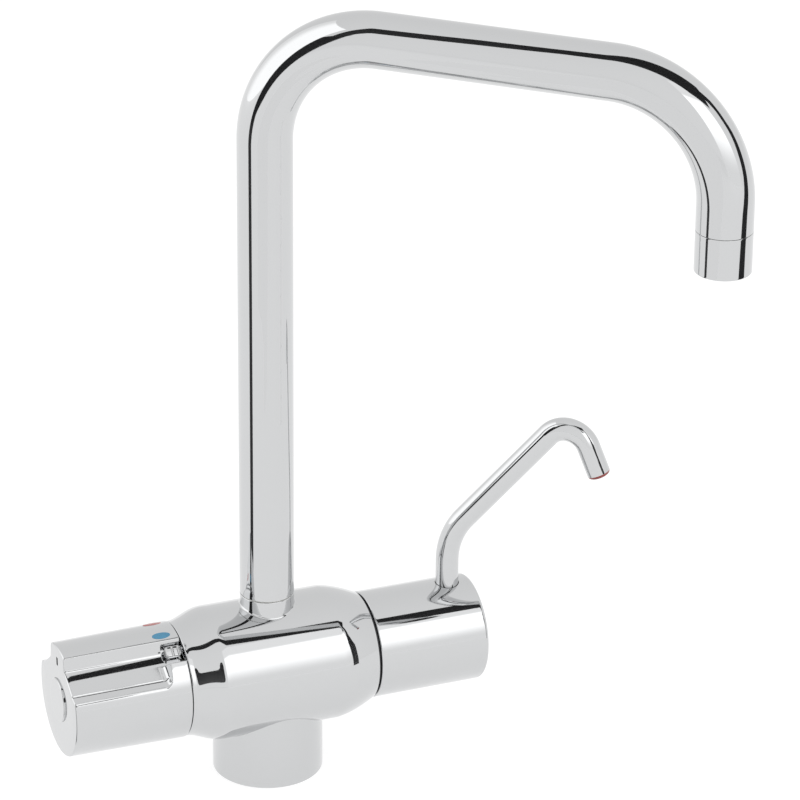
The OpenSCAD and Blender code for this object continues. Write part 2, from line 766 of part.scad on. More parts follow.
module temperature_knob() {
    color(CHROME) difference() {
        left(knob_start) knob_form();
        left(knob_start - past) cylinder(r = knob_cavity_r, h = knob_cavity_end - knob_start + past);
        left(knob_cavity_end - past) cylinder(r = knob_screw_r + 0.3, h = knob_end - knob_cavity_end);
        left(knob_end - cap_depth) cylinder(r = cap_r + fit_gap, h = cap_depth + past);
        left() for (s = [-1, 1]) rotate(knob_tilt + s * groove_angle) grip_groove();
        front_groove_frame() {
            button_slot();
            translate([0, button_t, button_mid]) rotate([0, 90, 0])
                cylinder(r = button_stem_r + run_gap, h = slot_floor + past);
        }
        for (s = [-1, 1]) mark(s, past);
        left(knob_end - notch_depth) rotate(knob_tilt) translate([notch_in, -notch_w / 2, 0])
            cube([notch_l, notch_w, notch_depth + past]);
    }
}
module cold_mark() { color(BLUE) mark(-1, mark_proud); }
module hot_mark() { color(RED) mark(1, mark_proud); }
module safety_button() {
    color(CHROME) front_groove_frame() {
        difference() {
            translate([button_base, button_t, button_mid]) rotate([0, 90, 0])
                linear_extrude(button_top - button_base) rounded_rect(button_l, button_w, button_corner_r);
            for (at = button_rib_gap_at)
                translate([button_top - button_rib_gap_depth, 0, button_mid + at - button_rib_gap_w / 2])
                    cube([2 * button_rib_gap_depth, 2 * button_w, button_rib_gap_w]);
        }
        translate([slot_floor - button_stem_below, button_t, button_mid]) rotate([0, 90, 0])
            cylinder(r = button_stem_r, h = button_base - slot_floor + button_stem_below + eps);
    }
}
module button_spring() {
    color(STEEL) front_groove_frame() translate([slot_floor + 0.02, button_t, button_mid])
        rotate([0, 90, 0])
            coil(button_coil_r, button_wire, button_turns, button_base - slot_floor - 0.04, 6, 16);
}
module knob_carrier() {
    carrier_l = knob_cavity_end - carrier_start;
    color(WHITE) difference() {
        union() {
            left(carrier_start) cylinder(r = carrier_hub_r, h = carrier_l);
            for (u = [carrier_start, knob_cavity_end - carrier_disc_l])
                left(u) cylinder(r = knob_cavity_r - fit_gap, h = carrier_disc_l);
            for (a = [0:90:270]) left(carrier_start) rotate(a)
                translate([carrier_hub_r - past, -carrier_rib_w / 2, 0])
                    cube([knob_cavity_r - carrier_hub_r, carrier_rib_w, carrier_l]);
            left(stop_start + 0.5) sector(stop_lug_r, stop_ring_r + 0.3, carrier_start - stop_start,
                -carrier_lug_arc / 2, carrier_lug_arc);
        }
        left(carrier_start - past)
            cylinder(r = spline_r + spline_h + fit_gap, h = spindle_tip - carrier_start + past + 0.2);
        left(spindle_tip) cylinder(r = knob_screw_r + 0.3, h = knob_cavity_end);
    }
}
module knob_screw() {
    floor_u = knob_end - cap_depth;
    color(STEEL) difference() {
        union() {
            left(floor_u) round_end(knob_screw_head_r, knob_screw_head_h, 0.6);
            left(spindle_tip - knob_screw_bite)
                cylinder(r = knob_screw_r - fit_gap, h = floor_u - spindle_tip + knob_screw_bite + eps);
        }
        left(floor_u + knob_screw_head_h - 1.6) cylinder(r = 1.5, h = knob_screw_head_h, $fn = 6);
    }
}
module knob_cap() {
    bottom = knob_end - cap_depth;
    color(CHROME) difference() {
        left(bottom) round_end(cap_r, cap_depth + cap_proud, edge_r);
        left(bottom - past) cylinder(r = cap_r - cap_wall, h = cap_depth - cap_roof + past);
    }
}

// Flow headwork
module headwork_body() {
    through = 2 * body_right;
    color(BRASS) difference() {
        union() {
            right(disc_start) cylinder(r = head_r, h = body_right - disc_start + past);
            right(body_right) cylinder(r = head_hex_r, h = head_face - body_right, $fn = 6);
            right(head_face - past) cylinder(r = neck_out_r, h = neck_end - head_face + past);
        }
        right(disc_start - past) cylinder(r = head_in_r, h = head_shelf - disc_start + past);
        right(disc_start - past) cylinder(r = flow_spindle_r + run_gap, h = through);
        right(disc_start - past) tube(head_r + past, head_r - head_relief, head_shelf - disc_start - 2);
        right(feed_x - feed_groove_l / 2) tube(head_r + past, head_r - head_relief, feed_groove_l);
        right(feed_x) for (a = [0, 90]) rotate([90, 0, a])
            cylinder(r = head_feed_hole_r, h = through, center = true);
        right(moving_start) for (a = [0, 90]) rotate([90, 0, a])
            translate([0, disc_l + 0.5, 0]) cylinder(r = head_window_r, h = through, center = true);
        for (x = head_seal_at) right(x - seal_groove / 2)
            tube(head_r + past, head_r - seal_groove, seal_groove);
    }
}
module headwork_seals() {
    color(BLACK) for (x = head_seal_at) right(x) seal(head_r - seal_wire - 0.01, seal_wire);
}
module disc_seat_seal() {
    color(BLACK) right(head_floor) tube(disc_r - 0.4, cross_bore_r + 0.2, seat_seal_l);
}
module disc_holes() {
    for (a = [0, 180]) rotate(a) translate([disc_hole_at, 0, -past])
        cylinder(r = disc_hole_r, h = disc_l + 2 * past);
}
module fixed_disc() {
    color(CERAMIC) right(disc_start) difference() {
        cylinder(r = disc_r, h = disc_l);
        disc_holes();
    }
}
module moving_disc() {
    key_w = disc_key_w + 2 * run_gap;
    color(CERAMIC) right(moving_start) difference() {
        cylinder(r = disc_r - run_gap, h = disc_l);
        rotate(90) disc_holes();
        translate([-key_w / 2, -disc_r - past, disc_l - disc_key_l])
            cube([key_w, 2 * disc_r + 2 * past, disc_key_l + past]);
    }
}
module flow_spindle() {
    color(BRASS) difference() {
        union() {
            right(foot_start) cylinder(r = disc_r - 2 * run_gap, h = foot_l);
            right(foot_start - disc_key_l + run_gap) translate([-disc_key_w / 2, -disc_key_reach, 0])
                cube([disc_key_w, 2 * disc_key_reach, disc_key_l]);
            right(foot_start) cylinder(r = flow_spindle_r, h = spindle_end - foot_start);
        }
        right(feed_x - spindle_bore_r) cylinder(r = spindle_bore_r, h = spindle_end);
        right(feed_x) for (a = [0, 90]) rotate([90, 0, a])
            cylinder(r = head_feed_hole_r - 0.1, h = 4 * flow_spindle_r, center = true);
        for (x = flow_seal_at) right(x - flow_seal_groove_l / 2)
            tube(flow_spindle_r + past, flow_spindle_r - flow_seal_groove_depth, flow_seal_groove_l);
        right(neck_end + 0.2)
            tube(flow_spindle_r + past, flow_spindle_r - circlip_depth, circlip_l + run_gap);
    }
}
module flow_spindle_seals() {
    color(BLACK) for (x = flow_seal_at) right(x) seal(flow_spindle_r + 0.05 - flow_seal_wire, flow_seal_wire);
}
module spindle_circlip() {
    color(STEEL) right(neck_end + 0.25) difference() {
        tube(circlip_out_r, flow_spindle_r - circlip_depth + fit_gap, circlip_l);
        translate([0, -clip_mouth / 2, -past]) cube([2 * circlip_out_r, clip_mouth, circlip_l + 2 * past]);
    }
}
module gap_ring() {
    color(BLACK) right(body_right) tube(gap_ring_r, gap_ring_in_r, barrel_gap - gap_ring_clear);
}

// Flow barrel and what turns with it
module flow_barrel() {
    color(CHROME) difference() {
        right(barrel_start) rotate_extrude() polygon(concat(
            [[0, 0], [barrel_r - edge_r, 0], [barrel_r, edge_r]],
            [for (a = [0:15:90]) [barrel_r - barrel_edge_r * (1 - cos(a)),
                                  barrel_end - barrel_start - barrel_edge_r * (1 - sin(a))]],
            [[0, barrel_end - barrel_start]]));
        right(barrel_start - past) cylinder(r = barrel_cavity_r, h = barrel_cavity_end - barrel_start + past);
        translate([small_x, 0, axis_h]) cylinder(r = small_r + small_hole_gap, h = 2 * barrel_r);
        translate([set_screw_x, 0, axis_h - 2 * barrel_r]) cylinder(r = set_screw_r, h = 2 * barrel_r);
    }
}
module outlet_block() {
    color(BRASS) difference() {
        union() {
            right(block_start) cylinder(r = block_r, h = barrel_cavity_end - block_start);
            right(block_disc_x) cylinder(r = block_disc_r, h = block_disc_l);
            translate([small_x, 0, axis_h]) cylinder(r = tower_r, h = tower_h);
        }
        right(block_start - past)
            cylinder(r = flow_spindle_r + fit_gap, h = spindle_end - block_start + past);
        right(spindle_end - past) cylinder(r = spindle_bore_r, h = small_x - spindle_end + past);
        translate([small_x, 0, axis_h]) cylinder(r = small_bore_r, h = tower_h + past);
        translate([small_x, 0, axis_h + small_socket_z]) cylinder(r = small_socket_r, h = tower_h);
        translate([small_x, 0, axis_h + small_clip_z - small_clip_gap / 2])
            cylinder(r = small_clip_r + small_clip_gap, h = small_clip_l + 2 * small_clip_gap);
        translate([set_screw_x, 0, axis_h - 2 * barrel_r])
            cylinder(r = set_screw_r, h = set_screw_top - axis_h + 2 * barrel_r);
    }
}
module barrel_set_screw() {
    color(STEEL) translate([set_screw_x, 0, set_screw_top - set_screw_l]) difference() {
        cylinder(r = set_screw_r - fit_gap, h = set_screw_l);
        translate([0, 0, -past]) cylinder(r = set_screw_key_r, h = set_screw_key_depth + past, $fn = 6);
    }
}

// Small spout
small_bend_sweep = 90 - small_slope;
small_run_s = small_bend_r * (1 - cos(small_bend_sweep));
small_run_z = small_bend_z - axis_h + small_bend_r * sin(small_bend_sweep);
small_hook_s = small_run_s + small_run * cos(small_slope);
small_hook_z = small_run_z + small_run * sin(small_slope);
small_hook_cs = small_hook_s + small_hook_r * sin(small_slope);
small_hook_cz = small_hook_z - small_hook_r * cos(small_slope);
small_end_s = small_hook_cs + small_hook_r * sin(small_drop);
small_end_z = small_hook_cz + small_hook_r * cos(small_drop);

// A bend in the upright plane of a spout: it starts at an angle above the centre's
// horizontal and sweeps on towards the outlet.
module bend(centre_s, centre_z, bend_r, r, from, sweep) {
    translate([centre_s, 0, centre_z]) rotate([90, 0, 0]) rotate(from - bend_lap)
        rotate_extrude(angle = sweep + 2 * bend_lap) translate([bend_r, 0]) circle(r = r - bend_thin);
}
module small_line(r, foot, tip) {
    translate([0, 0, foot]) cylinder(r = r, h = small_bend_z - axis_h - foot);
    bend(small_bend_r, small_bend_z - axis_h, small_bend_r, r, 180 - small_bend_sweep, small_bend_sweep);
    translate([small_run_s, 0, small_run_z]) rotate([0, 90 - small_slope, 0])
        cylinder(r = r, h = small_run);
    bend(small_hook_cs, small_hook_cz, small_hook_r, r, 90 - small_drop, small_drop + small_slope);
    translate([small_end_s, 0, small_end_z]) rotate([0, 90 + small_drop, 0])
        cylinder(r = r, h = small_tail + tip);
}
module small_spout_tube() {
    color(CHROME) small_frame() difference() {
        small_line(small_r, small_foot_z, 0);
        small_line(small_in_r, small_foot_z - past, past);
        for (z = small_seal_at) translate([0, 0, z - small_seal_groove_l / 2])
            tube(small_r + past, small_r - small_groove, small_seal_groove_l);
        translate([0, 0, small_clip_z])
            tube(small_r + past, small_r - small_clip_depth - 0.1, small_clip_l + small_clip_gap);
    }
}
module small_spout_seals() {
    color(BLACK) small_frame() for (z = small_seal_at)
        translate([0, 0, z]) seal(small_r + 0.05 - small_seal_wire, small_seal_wire);
}
module small_spout_clip() {
    color(STEEL) small_frame() translate([0, 0, small_clip_z + small_clip_gap / 2]) difference() {
        tube(small_clip_r, small_r - small_clip_depth, small_clip_l);
        translate([0, -clip_mouth / 2, -past]) cube([2 * small_clip_r, clip_mouth, small_clip_l + 2 * past]);
    }
}
module hot_nozzle() {
    color(RED) small_frame() translate([small_end_s, 0, small_end_z]) rotate([0, 90 + small_drop, 0])
        translate([0, 0, small_tail]) difference() {
            union() {
                translate([0, 0, -nozzle_plug_l]) cylinder(r = small_in_r - fit_gap, h = nozzle_plug_l + eps);
                rotate_extrude() polygon(concat(
                    [[0, 0], [nozzle_r, 0]],
                    [for (a = [0:15:75]) [nozzle_r - nozzle_round * (1 - cos(a)), nozzle_h * sin(a)]],
                    [[0, nozzle_h]]));
            }
            translate([0, 0, -nozzle_plug_l - past])
                cylinder(r = nozzle_bore_r, h = nozzle_plug_l + nozzle_h + 2 * past);
        }
}

// Main spout
module spout_line(r, foot, tip) {
    translate([0, 0, foot]) cylinder(r = r, h = arm_z - bend_column_r - foot);
    bend(bend_column_r, arm_z - bend_column_r, bend_column_r, r, 90, 90);
    translate([bend_column_r, 0, arm_z]) rotate([0, 90, 0])
        cylinder(r = r, h = spout_reach - bend_column_r - bend_outlet_r);
    bend(spout_reach - bend_outlet_r, leg_top, bend_outlet_r, r, 0, 90);
    translate([spout_reach, 0, tip]) cylinder(r = r, h = leg_top - tip);
}
module main_spout_tube() {
    color(CHROME) spout_frame() difference() {
        spout_line(spout_r, spout_foot, aerator_top + aerator_seam);
        spout_line(spout_in_r, spout_foot - past, aerator_top - past);
    }
}
module spout_tail() {
    color(BRASS) difference() {
        union() {
            translate([0, 0, tail_bottom]) cylinder(r = tail_r, h = spout_foot - tail_bottom + past);
            translate([0, 0, spout_foot]) cylinder(r = spout_in_r - fit_gap, h = tail_plug_h);
        }
        translate([0, 0, tail_bottom - past]) cylinder(r = tail_bore_r, h = 2 * boss_top);
        for (z = tail_seal_at) translate([0, 0, socket_floor + z])
            tube(tail_r + past, tail_r - tail_seal_groove_depth, tail_seal_groove_l);
        translate([0, 0, socket_floor + tail_guide_at])
            tube(tail_r + past, tail_r - tail_guide_depth, tail_guide_l);
        // The lock screw's tip runs in this groove, whose ends stop the spout.
        translate([0, 0, lock_z - lock_tip_r - run_gap]) sector(tail_r + past, tail_r - lock_groove_depth,
            2 * (lock_tip_r + run_gap), 90 - swivel_right - lock_stop_spare,
            swivel_right + swivel_left + 2 * lock_stop_spare);
    }
}
module spout_seals() {
    color(BLACK) for (z = tail_seal_at) translate([0, 0, socket_floor + z + tail_seal_groove_l / 2])
        seal(tail_r + 0.03 - tail_seal_wire, tail_seal_wire);
}
module spout_glide_rings() {
    color(WHITE) {
        translate([0, 0, socket_floor + tail_guide_at + run_gap])
            tube(socket_r - 0.03, tail_r - tail_guide_depth + fit_gap, tail_guide_l - 2 * run_gap);
        translate([0, 0, boss_top + 0.02]) tube(spout_r - 0.4, tail_r + 0.15, seam_ring_h - 0.02);
    }
}
module spout_lock_screw() {
    color(STEEL) translate([0, spout_r - 0.2, lock_z]) rotate([90, 0, 0]) difference() {
        union() {
            cylinder(r = lock_r - fit_gap, h = socket_wall - 0.4);
            cylinder(r = lock_tip_r, h = socket_wall - 0.2 + lock_tip_reach);
        }
        translate([0, 0, -past]) cylinder(r = lock_socket_r, h = lock_socket_depth + past, $fn = 6);
    }
}

// Aerator
module outlet_frame() { spout_frame() translate([spout_reach, 0, outlet_z]) children(); }
module aerator_housing() {
    color(CHROME) outlet_frame() difference() {
        union() {
            mirror([0, 0, 1]) translate([0, 0, -aerator_h]) round_end(spout_r, aerator_h, edge_r);
            translate([0, 0, aerator_h - past])
                cylinder(r = spout_in_r - fit_gap, h = aerator_spigot_l + past);
        }
        translate([0, 0, -past]) cylinder(r = aerator_in_r, h = aerator_shelf + past);
        translate([0, 0, -past]) cylinder(r = aerator_in_r - 2, h = 2 * aerator_h);
    }
}
module aerator_insert() {
    color(BLACK) outlet_frame() translate([0, 0, aerator_recess]) difference() {
        cylinder(r = aerator_in_r - fit_gap, h = aerator_insert_l);
        translate([0, 0, aerator_plate])
            cylinder(r = aerator_in_r - 1.6, h = aerator_insert_l - 2 * aerator_plate);
        for (ring = [0:aerator_rings]) for (i = [0:max(1, 6 * ring) - 1])
            rotate(i * 360 / max(1, 6 * ring)) translate([ring * aerator_pitch, 0, -past])
                cylinder(r = aerator_hole_r, h = aerator_insert_l + 2 * past, $fn = 16);
    }
}
module aerator_washer() {
    bottom = aerator_recess + aerator_insert_l;
    color(BLACK) outlet_frame() translate([0, 0, bottom])
        tube(aerator_in_r - 0.1, aerator_in_r - 2.4, aerator_shelf - bottom);
}

mixer_body();
base_gasket();
check_valve_housings();
cold_check_poppet();
hot_check_poppet();
cold_check_spring();
hot_check_spring();
cartridge_sleeve();
cartridge_seals();
port_screens();
mixing_shuttle();
wax_element();
lift_screw();
return_spring();
temperature_spindle();
temperature_spindle_seal();
temperature_stop_ring();
cartridge_nut();
knob_carrier();
temperature_knob();
knob_screw();
knob_cap();
cold_mark();
hot_mark();
safety_button();
button_spring();
headwork_body();
headwork_seals();
disc_seat_seal();
fixed_disc();
moving_disc();
flow_spindle();
flow_spindle_seals();
spindle_circlip();
gap_ring();
flow_barrel();
outlet_block();
barrel_set_screw();
small_spout_tube();
small_spout_seals();
small_spout_clip();
hot_nozzle();
main_spout_tube();
spout_tail();
spout_seals();
spout_glide_rings();
spout_lock_screw();
aerator_housing();
aerator_insert();
aerator_washer();
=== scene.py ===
import json
import math

import bmesh
import bpy
import numpy as np
from mathutils import Matrix, Vector

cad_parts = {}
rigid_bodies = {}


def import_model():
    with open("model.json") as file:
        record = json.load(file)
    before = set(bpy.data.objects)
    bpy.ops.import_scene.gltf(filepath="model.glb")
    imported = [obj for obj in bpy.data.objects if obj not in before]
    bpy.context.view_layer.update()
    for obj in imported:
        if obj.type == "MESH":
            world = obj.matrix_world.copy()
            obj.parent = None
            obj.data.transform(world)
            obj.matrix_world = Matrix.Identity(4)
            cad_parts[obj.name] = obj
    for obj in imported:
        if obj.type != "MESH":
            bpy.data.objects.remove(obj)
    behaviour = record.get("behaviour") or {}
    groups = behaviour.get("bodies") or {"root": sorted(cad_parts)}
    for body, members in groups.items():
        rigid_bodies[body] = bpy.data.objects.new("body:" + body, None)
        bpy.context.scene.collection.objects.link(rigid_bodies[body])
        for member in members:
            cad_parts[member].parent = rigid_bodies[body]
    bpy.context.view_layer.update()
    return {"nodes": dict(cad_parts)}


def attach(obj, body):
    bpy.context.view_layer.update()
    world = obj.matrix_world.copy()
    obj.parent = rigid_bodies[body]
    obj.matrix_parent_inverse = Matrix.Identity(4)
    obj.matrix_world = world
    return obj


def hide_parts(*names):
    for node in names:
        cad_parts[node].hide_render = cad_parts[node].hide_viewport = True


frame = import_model()
mm = 0.001


# ---------------------------------------------------------------- Photographer's camera
# A long lens 1.97 m away, to the left of the front and 25 degrees up, with a slight tilt
# of the whole frame. It was fitted to the edges of the mixer in the photograph.
camera_left = math.radians(22.11)
camera_down = math.radians(24.99)
camera_roll = math.radians(0.53)
camera_far = 1973.27 * mm
looked_at = Vector((63.40, 0, 170.85)) * mm

forward = Vector((math.sin(camera_left) * math.cos(camera_down),
                  math.cos(camera_left) * math.cos(camera_down), -math.sin(camera_down)))
level = Vector((math.cos(camera_left), -math.sin(camera_left), 0))
across = level * math.cos(camera_roll) + level.cross(forward) * math.sin(camera_roll)
upward = across.cross(forward)
lens = bpy.data.cameras.new("camera")
lens.lens = 199.94
lens.sensor_width = 36
lens.clip_end = 200
camera = bpy.data.objects.new("camera", lens)
camera.matrix_world = Matrix.Translation(looked_at - forward * camera_far) @ Matrix(
    (across, upward, -forward)).transposed().to_4x4()
bpy.context.scene.collection.objects.link(camera)
bpy.context.scene.camera = camera
bpy.context.scene.view_settings.view_transform = "Standard"


# ---------------------------------------------------------------- Room's light
# A white tent around the mixer. What a mirror sees of it is white, a little duller
# behind; matt things get a plain even light from it.
plain_light = 0.62
mirrored_front = 1.08
mirrored_back = 0.92


def worked_out(tree, operation, *values):
    """The result of a math node on sockets and plain numbers."""
    node = tree.nodes.new("ShaderNodeMath")
    node.operation = operation
    for socket, value in zip(node.inputs, values):
        if isinstance(value, bpy.types.NodeSocket):
            tree.links.new(value, socket)
        else:
            socket.default_value = value
    return node.outputs[0]


def ranged(tree, value, start, stop, low, high):
    """A node that takes a value from start..stop to low..high."""
    node = tree.nodes.new("ShaderNodeMapRange")
    for key, number in (("From Min", start), ("From Max", stop), ("To Min", low), ("To Max", high)):
        node.inputs[key].default_value = number
    tree.links.new(value, node.inputs["Value"])
    return node


tent = bpy.data.worlds.new("tent")
tent.use_nodes = True
bpy.context.scene.world = tent
nodes, links = tent.node_tree.nodes, tent.node_tree.links
tent_light = nodes["Background"]
tent_light.inputs["Color"].default_value = (1, 1, 1, 1)
ray = nodes.new("ShaderNodeLightPath")
seen_straight = worked_out(tent.node_tree, "MAXIMUM", ray.outputs["Is Camera Ray"],
                           ray.outputs["Is Transmission Ray"])
direction = nodes.new("ShaderNodeTexCoord")
parts = nodes.new("ShaderNodeSeparateXYZ")
links.new(direction.outputs["Generated"], parts.inputs[0])
front_to_back = ranged(tent.node_tree, parts.outputs["Y"], -1.0, 1.0, mirrored_front, mirrored_back)
mirrored = nodes.new("ShaderNodeMix")
mirrored.inputs["A"].default_value = plain_light
links.new(ray.outputs["Is Glossy Ray"], mirrored.inputs["Factor"])
links.new(front_to_back.outputs["Result"], mirrored.inputs["B"])
strength = nodes.new("ShaderNodeMix")
strength.inputs["B"].default_value = 1.0
links.new(seen_straight, strength.inputs["Factor"])
links.new(mirrored.outputs["Result"], strength.inputs["A"])
links.new(strength.outputs["Result"], tent_light.inputs["Strength"])


# ---------------------------------------------------------------- Table top
# One white sweep of paper that runs far beyond the frame. Part of its white is its own
# light, so the mixer's shadow on it is faint, as under a tent lit from all round.
sweep_size = 60.0
paper_glow = 0.78
paper_share = 0.42
paper_white = (0.9, 0.9, 0.9, 1)


def object_from(bm, name):
    """Makes a bmesh an object of the scene, and frees it."""
    mesh = bpy.data.meshes.new(name)
    bm.to_mesh(mesh)
    bm.free()
    made = bpy.data.objects.new(name, mesh)
    bpy.context.scene.collection.objects.link(made)
    return made


def flat_sheet(name, width, height):
    bm = bmesh.new()
    bmesh.ops.create_grid(bm, x_segments=1, y_segments=1, size=0.5)
    bmesh.ops.scale(bm, vec=(width, height, 1), verts=bm.verts)
    return object_from(bm, name)


def bare_material(name):
    """A material with nothing on its surface yet."""
    material = bpy.data.materials.new(name)
    material.use_nodes = True
    material.node_tree.nodes.remove(material.node_tree.nodes["Principled BSDF"])
    return material


table_top = flat_sheet("table_top", sweep_size, sweep_size)
paper = bare_material("table_paper")
nodes, links = paper.node_tree.nodes, paper.node_tree.links
paper_matt = nodes.new("ShaderNodeBsdfDiffuse")
paper_matt.inputs["Color"].default_value = paper_white
paper_light = nodes.new("ShaderNodeEmission")
ray = nodes.new("ShaderNodeLightPath")
seen = worked_out(paper.node_tree, "SUBTRACT", 1.0, ray.outputs["Is Diffuse Ray"])
glow = worked_out(paper.node_tree, "MULTIPLY", seen, paper_glow / (1 - paper_share))
links.new(glow, paper_light.inputs["Strength"])
paper_mix = nodes.new("ShaderNodeMixShader")
paper_mix.inputs[0].default_value = 1 - paper_share
links.new(paper_matt.outputs[0], paper_mix.inputs[1])
links.new(paper_light.outputs[0], paper_mix.inputs[2])
links.new(paper_mix.outputs[0], nodes["Material Output"].inputs["Surface"])
table_top.data.materials.append(paper)


# ---------------------------------------------------------------- Soft boxes
# Two lit cloths that stand outside the frame. The one at the front right dims towards its
# foot and its top, the one at the back left towards one side, so the chrome shows soft
# gradients.
box_far = 2.5
front_bearing = 23
back_bearing = -125


def seen_at(bearing, away, up):
    """A point at this bearing, in degrees from the front to the right, and this far away."""
    a = math.radians(bearing)
    return Vector((away * math.sin(a), -away * math.cos(a), up))


def standing_sheet(name, width, height, bearing, far, middle_up):
    """A sheet that faces the mixer."""
    sheet = flat_sheet(name, width, height)
    a = math.radians(bearing)
    facing = Matrix((Vector((math.cos(a), math.sin(a), 0)), Vector((0, 0, 1)),
                     Vector((-math.sin(a), math.cos(a), 0)))).transposed().to_4x4()
    sheet.data.transform(Matrix.Translation(seen_at(bearing, far, middle_up)) @ facing)
    sheet.visible_camera = False
    return sheet


def lit_cloth(name, bearing, strength, fades):
    """fades: (socket, from, to, light at from, light at to) across the cloth, in metres."""
    cloth = bare_material(name)
    nodes, links = cloth.node_tree.nodes, cloth.node_tree.links
    where = nodes.new("ShaderNodeTexCoord")
    turned_back = nodes.new("ShaderNodeMapping")
    turned_back.inputs["Rotation"].default_value = (0, 0, -math.radians(bearing))
    links.new(where.outputs["Object"], turned_back.inputs["Vector"])
    place = nodes.new("ShaderNodeSeparateXYZ")
    links.new(turned_back.outputs["Vector"], place.inputs[0])
    for socket, start, stop, dim, full in fades:
        fade = ranged(cloth.node_tree, place.outputs[socket], start, stop, dim, full)
        fade.interpolation_type = "SMOOTHSTEP"
        strength = worked_out(cloth.node_tree, "MULTIPLY", strength, fade.outputs["Result"])
    light = nodes.new("ShaderNodeEmission")
    links.new(strength, light.inputs["Strength"])
    links.new(light.outputs[0], nodes["Material Output"].inputs["Surface"])
    return cloth


front_box = standing_sheet("front_soft_box", 2.0, 4.7, front_bearing, box_far, middle_up=2.36)
front_box.data.materials.append(lit_cloth("front_cloth", front_bearing, strength=1.78, fades=(
    ("Z", 0.25, 1.35, 0.62, 1.0), ("Z", 2.75, 3.05, 1.0, 0.68))))
back_box = standing_sheet("back_soft_box", 3.4, 3.4, back_bearing, box_far, middle_up=1.71)
back_box.data.materials.append(lit_cloth("back_cloth", back_bearing, strength=1.62, fades=(
    ("X", -1.4, 0.0, 0.7, 1.0),)))


# ---------------------------------------------------------------- Dark cards
# Strips of black card that give the chrome its dark lines: one at the left that runs on
# along the table, one overhead, one bent round the outlet, a low one by the body's left
# shoulder and a blind of slats by its right one. The camera doesn't see them.
card_up = 0.002
card_black = bpy.data.materials.new("card_black")
card_black.use_nodes = True
card_matt = card_black.node_tree.nodes["Principled BSDF"]
card_matt.inputs["Base Color"].default_value = (0.02, 0.02, 0.022, 1)
card_matt.inputs["Roughness"].default_value = 0.9


def dark_card(name, corners):
    bm = bmesh.new()
    bm.faces.new([bm.verts.new(corner) for corner in corners])
    card_object = object_from(bm, name)
    card_object.data.materials.append(card_black)
    card_object.visible_camera = False
    card_object.visible_diffuse = False
    card_object.visible_transmission = False
    card_object.visible_shadow = False


dark_card("left_card", ((-1.0, -0.34, 0.0), (-1.0, 0.0, 0.0), (-1.0, -0.02, 0.9), (-1.0, -0.34, 0.9)))
dark_card("left_table_card", ((-0.13, 0.0, card_up), (-0.13, -0.03, card_up), (-3.0, -0.72, card_up),
                              (-3.0, 0.0, card_up)))
# The overhead card is bent a little and rises to the left, as a strip held at its two ends
# is: each row here is along, front, back and up. The outlet card bends down round the
# outlet, and each row is its two edges.
overhead_edges = [((along, front, up), (along, back, up)) for along, front, back, up in (
    (-1.0, -0.33, -0.14, 0.78), (-0.7, -0.26, -0.115, 0.74), (-0.5, -0.20, -0.088, 0.70),
    (-0.3, -0.165, -0.07, 0.65), (-0.1, -0.13, -0.06, 0.58), (0.0, -0.12, -0.065, 0.53),
    (0.1, -0.17, -0.095, 0.50), (0.2, -0.225, -0.107, 0.50), (0.3, -0.24, -0.115, 0.50))]
outlet_edges = (
    ((0.139, -0.135, 0.440), (0.171, -0.117, 0.430)), ((0.167, -0.141, 0.430), (0.188, -0.125, 0.419)),
    ((0.186, -0.146, 0.417), (0.200, -0.133, 0.408)), ((0.198, -0.152, 0.405), (0.211, -0.134, 0.394)),
    ((0.209, -0.156, 0.392), (0.218, -0.141, 0.384)), ((0.214, -0.163, 0.381), (0.223, -0.147, 0.373)),
    ((0.219, -0.167, 0.370), (0.228, -0.148, 0.361)), ((0.222, -0.172, 0.358), (0.231, -0.152, 0.350)),
    ((0.223, -0.181, 0.342), (0.234, -0.158, 0.334)), ((0.223, -0.188, 0.318), (0.234, -0.164, 0.313)),
    ((0.212, -0.199, 0.286), (0.229, -0.172, 0.284)), ((0.204, -0.206, 0.255), (0.225, -0.176, 0.255)),
    ((0.202, -0.221, 0.210), (0.224, -0.179, 0.210)))
for name, edges in (("overhead_card_%02d", overhead_edges), ("outlet_card_%02d", outlet_edges)):
    for number, (one, two) in enumerate(zip(edges, edges[1:])):
        dark_card(name % number, (one[0], one[1], two[1], two[0]))

# The low card slopes up and away from the body's left shoulder. It is black underneath,
# and a white card on top, a little wider, keeps it from the spout. Its corners are
# (bearing from the front, elevation) as that shoulder sees them, in degrees.
shoulder_spot = Vector((-0.035, -0.02, 0.06))
low_card_rise = 0.07
low_card_slope = 0.1
low_card_lift = 0.0008
low_card_wider = 1.016
low_card_left = ((-47, 15), (-45, 10), (-40, 8), (-16, 8), (-16, 33), (-21, 30), (-30, 28), (-47, 27))
card_white_light = 1.06
low_card_right = ((-16, 8), (-8, 8), (-5, 10), (-4, 14), (-3, 40), (-5, 43), (-8, 44), (-12, 43),
                  (-15, 38), (-16, 33))


def low_card_corners(sights, lift, wider):
    corners = []
    for bearing, elevation in sights:
        away = low_card_rise / (math.tan(math.radians(elevation)) - low_card_slope)
        corners.append(shoulder_spot + seen_at(bearing, away, low_card_rise + low_card_slope * away + lift))
    centre = sum(corners, Vector()) / len(corners)
    return [centre + (corner - centre) * wider for corner in corners]


card_white = bare_material("card_white")
white_light = card_white.node_tree.nodes.new("ShaderNodeEmission")
white_light.inputs["Strength"].default_value = card_white_light
card_white.node_tree.links.new(
    white_light.outputs[0], card_white.node_tree.nodes["Material Output"].inputs["Surface"])
for part, sights in (("left", low_card_left), ("right", low_card_right)):
    dark_card("low_card_" + part, low_card_corners(sights, 0.0, 1.0))
    dark_card("low_card_top_" + part, low_card_corners(sights, low_card_lift, low_card_wider))
    bpy.data.objects["low_card_top_" + part].data.materials[0] = card_white

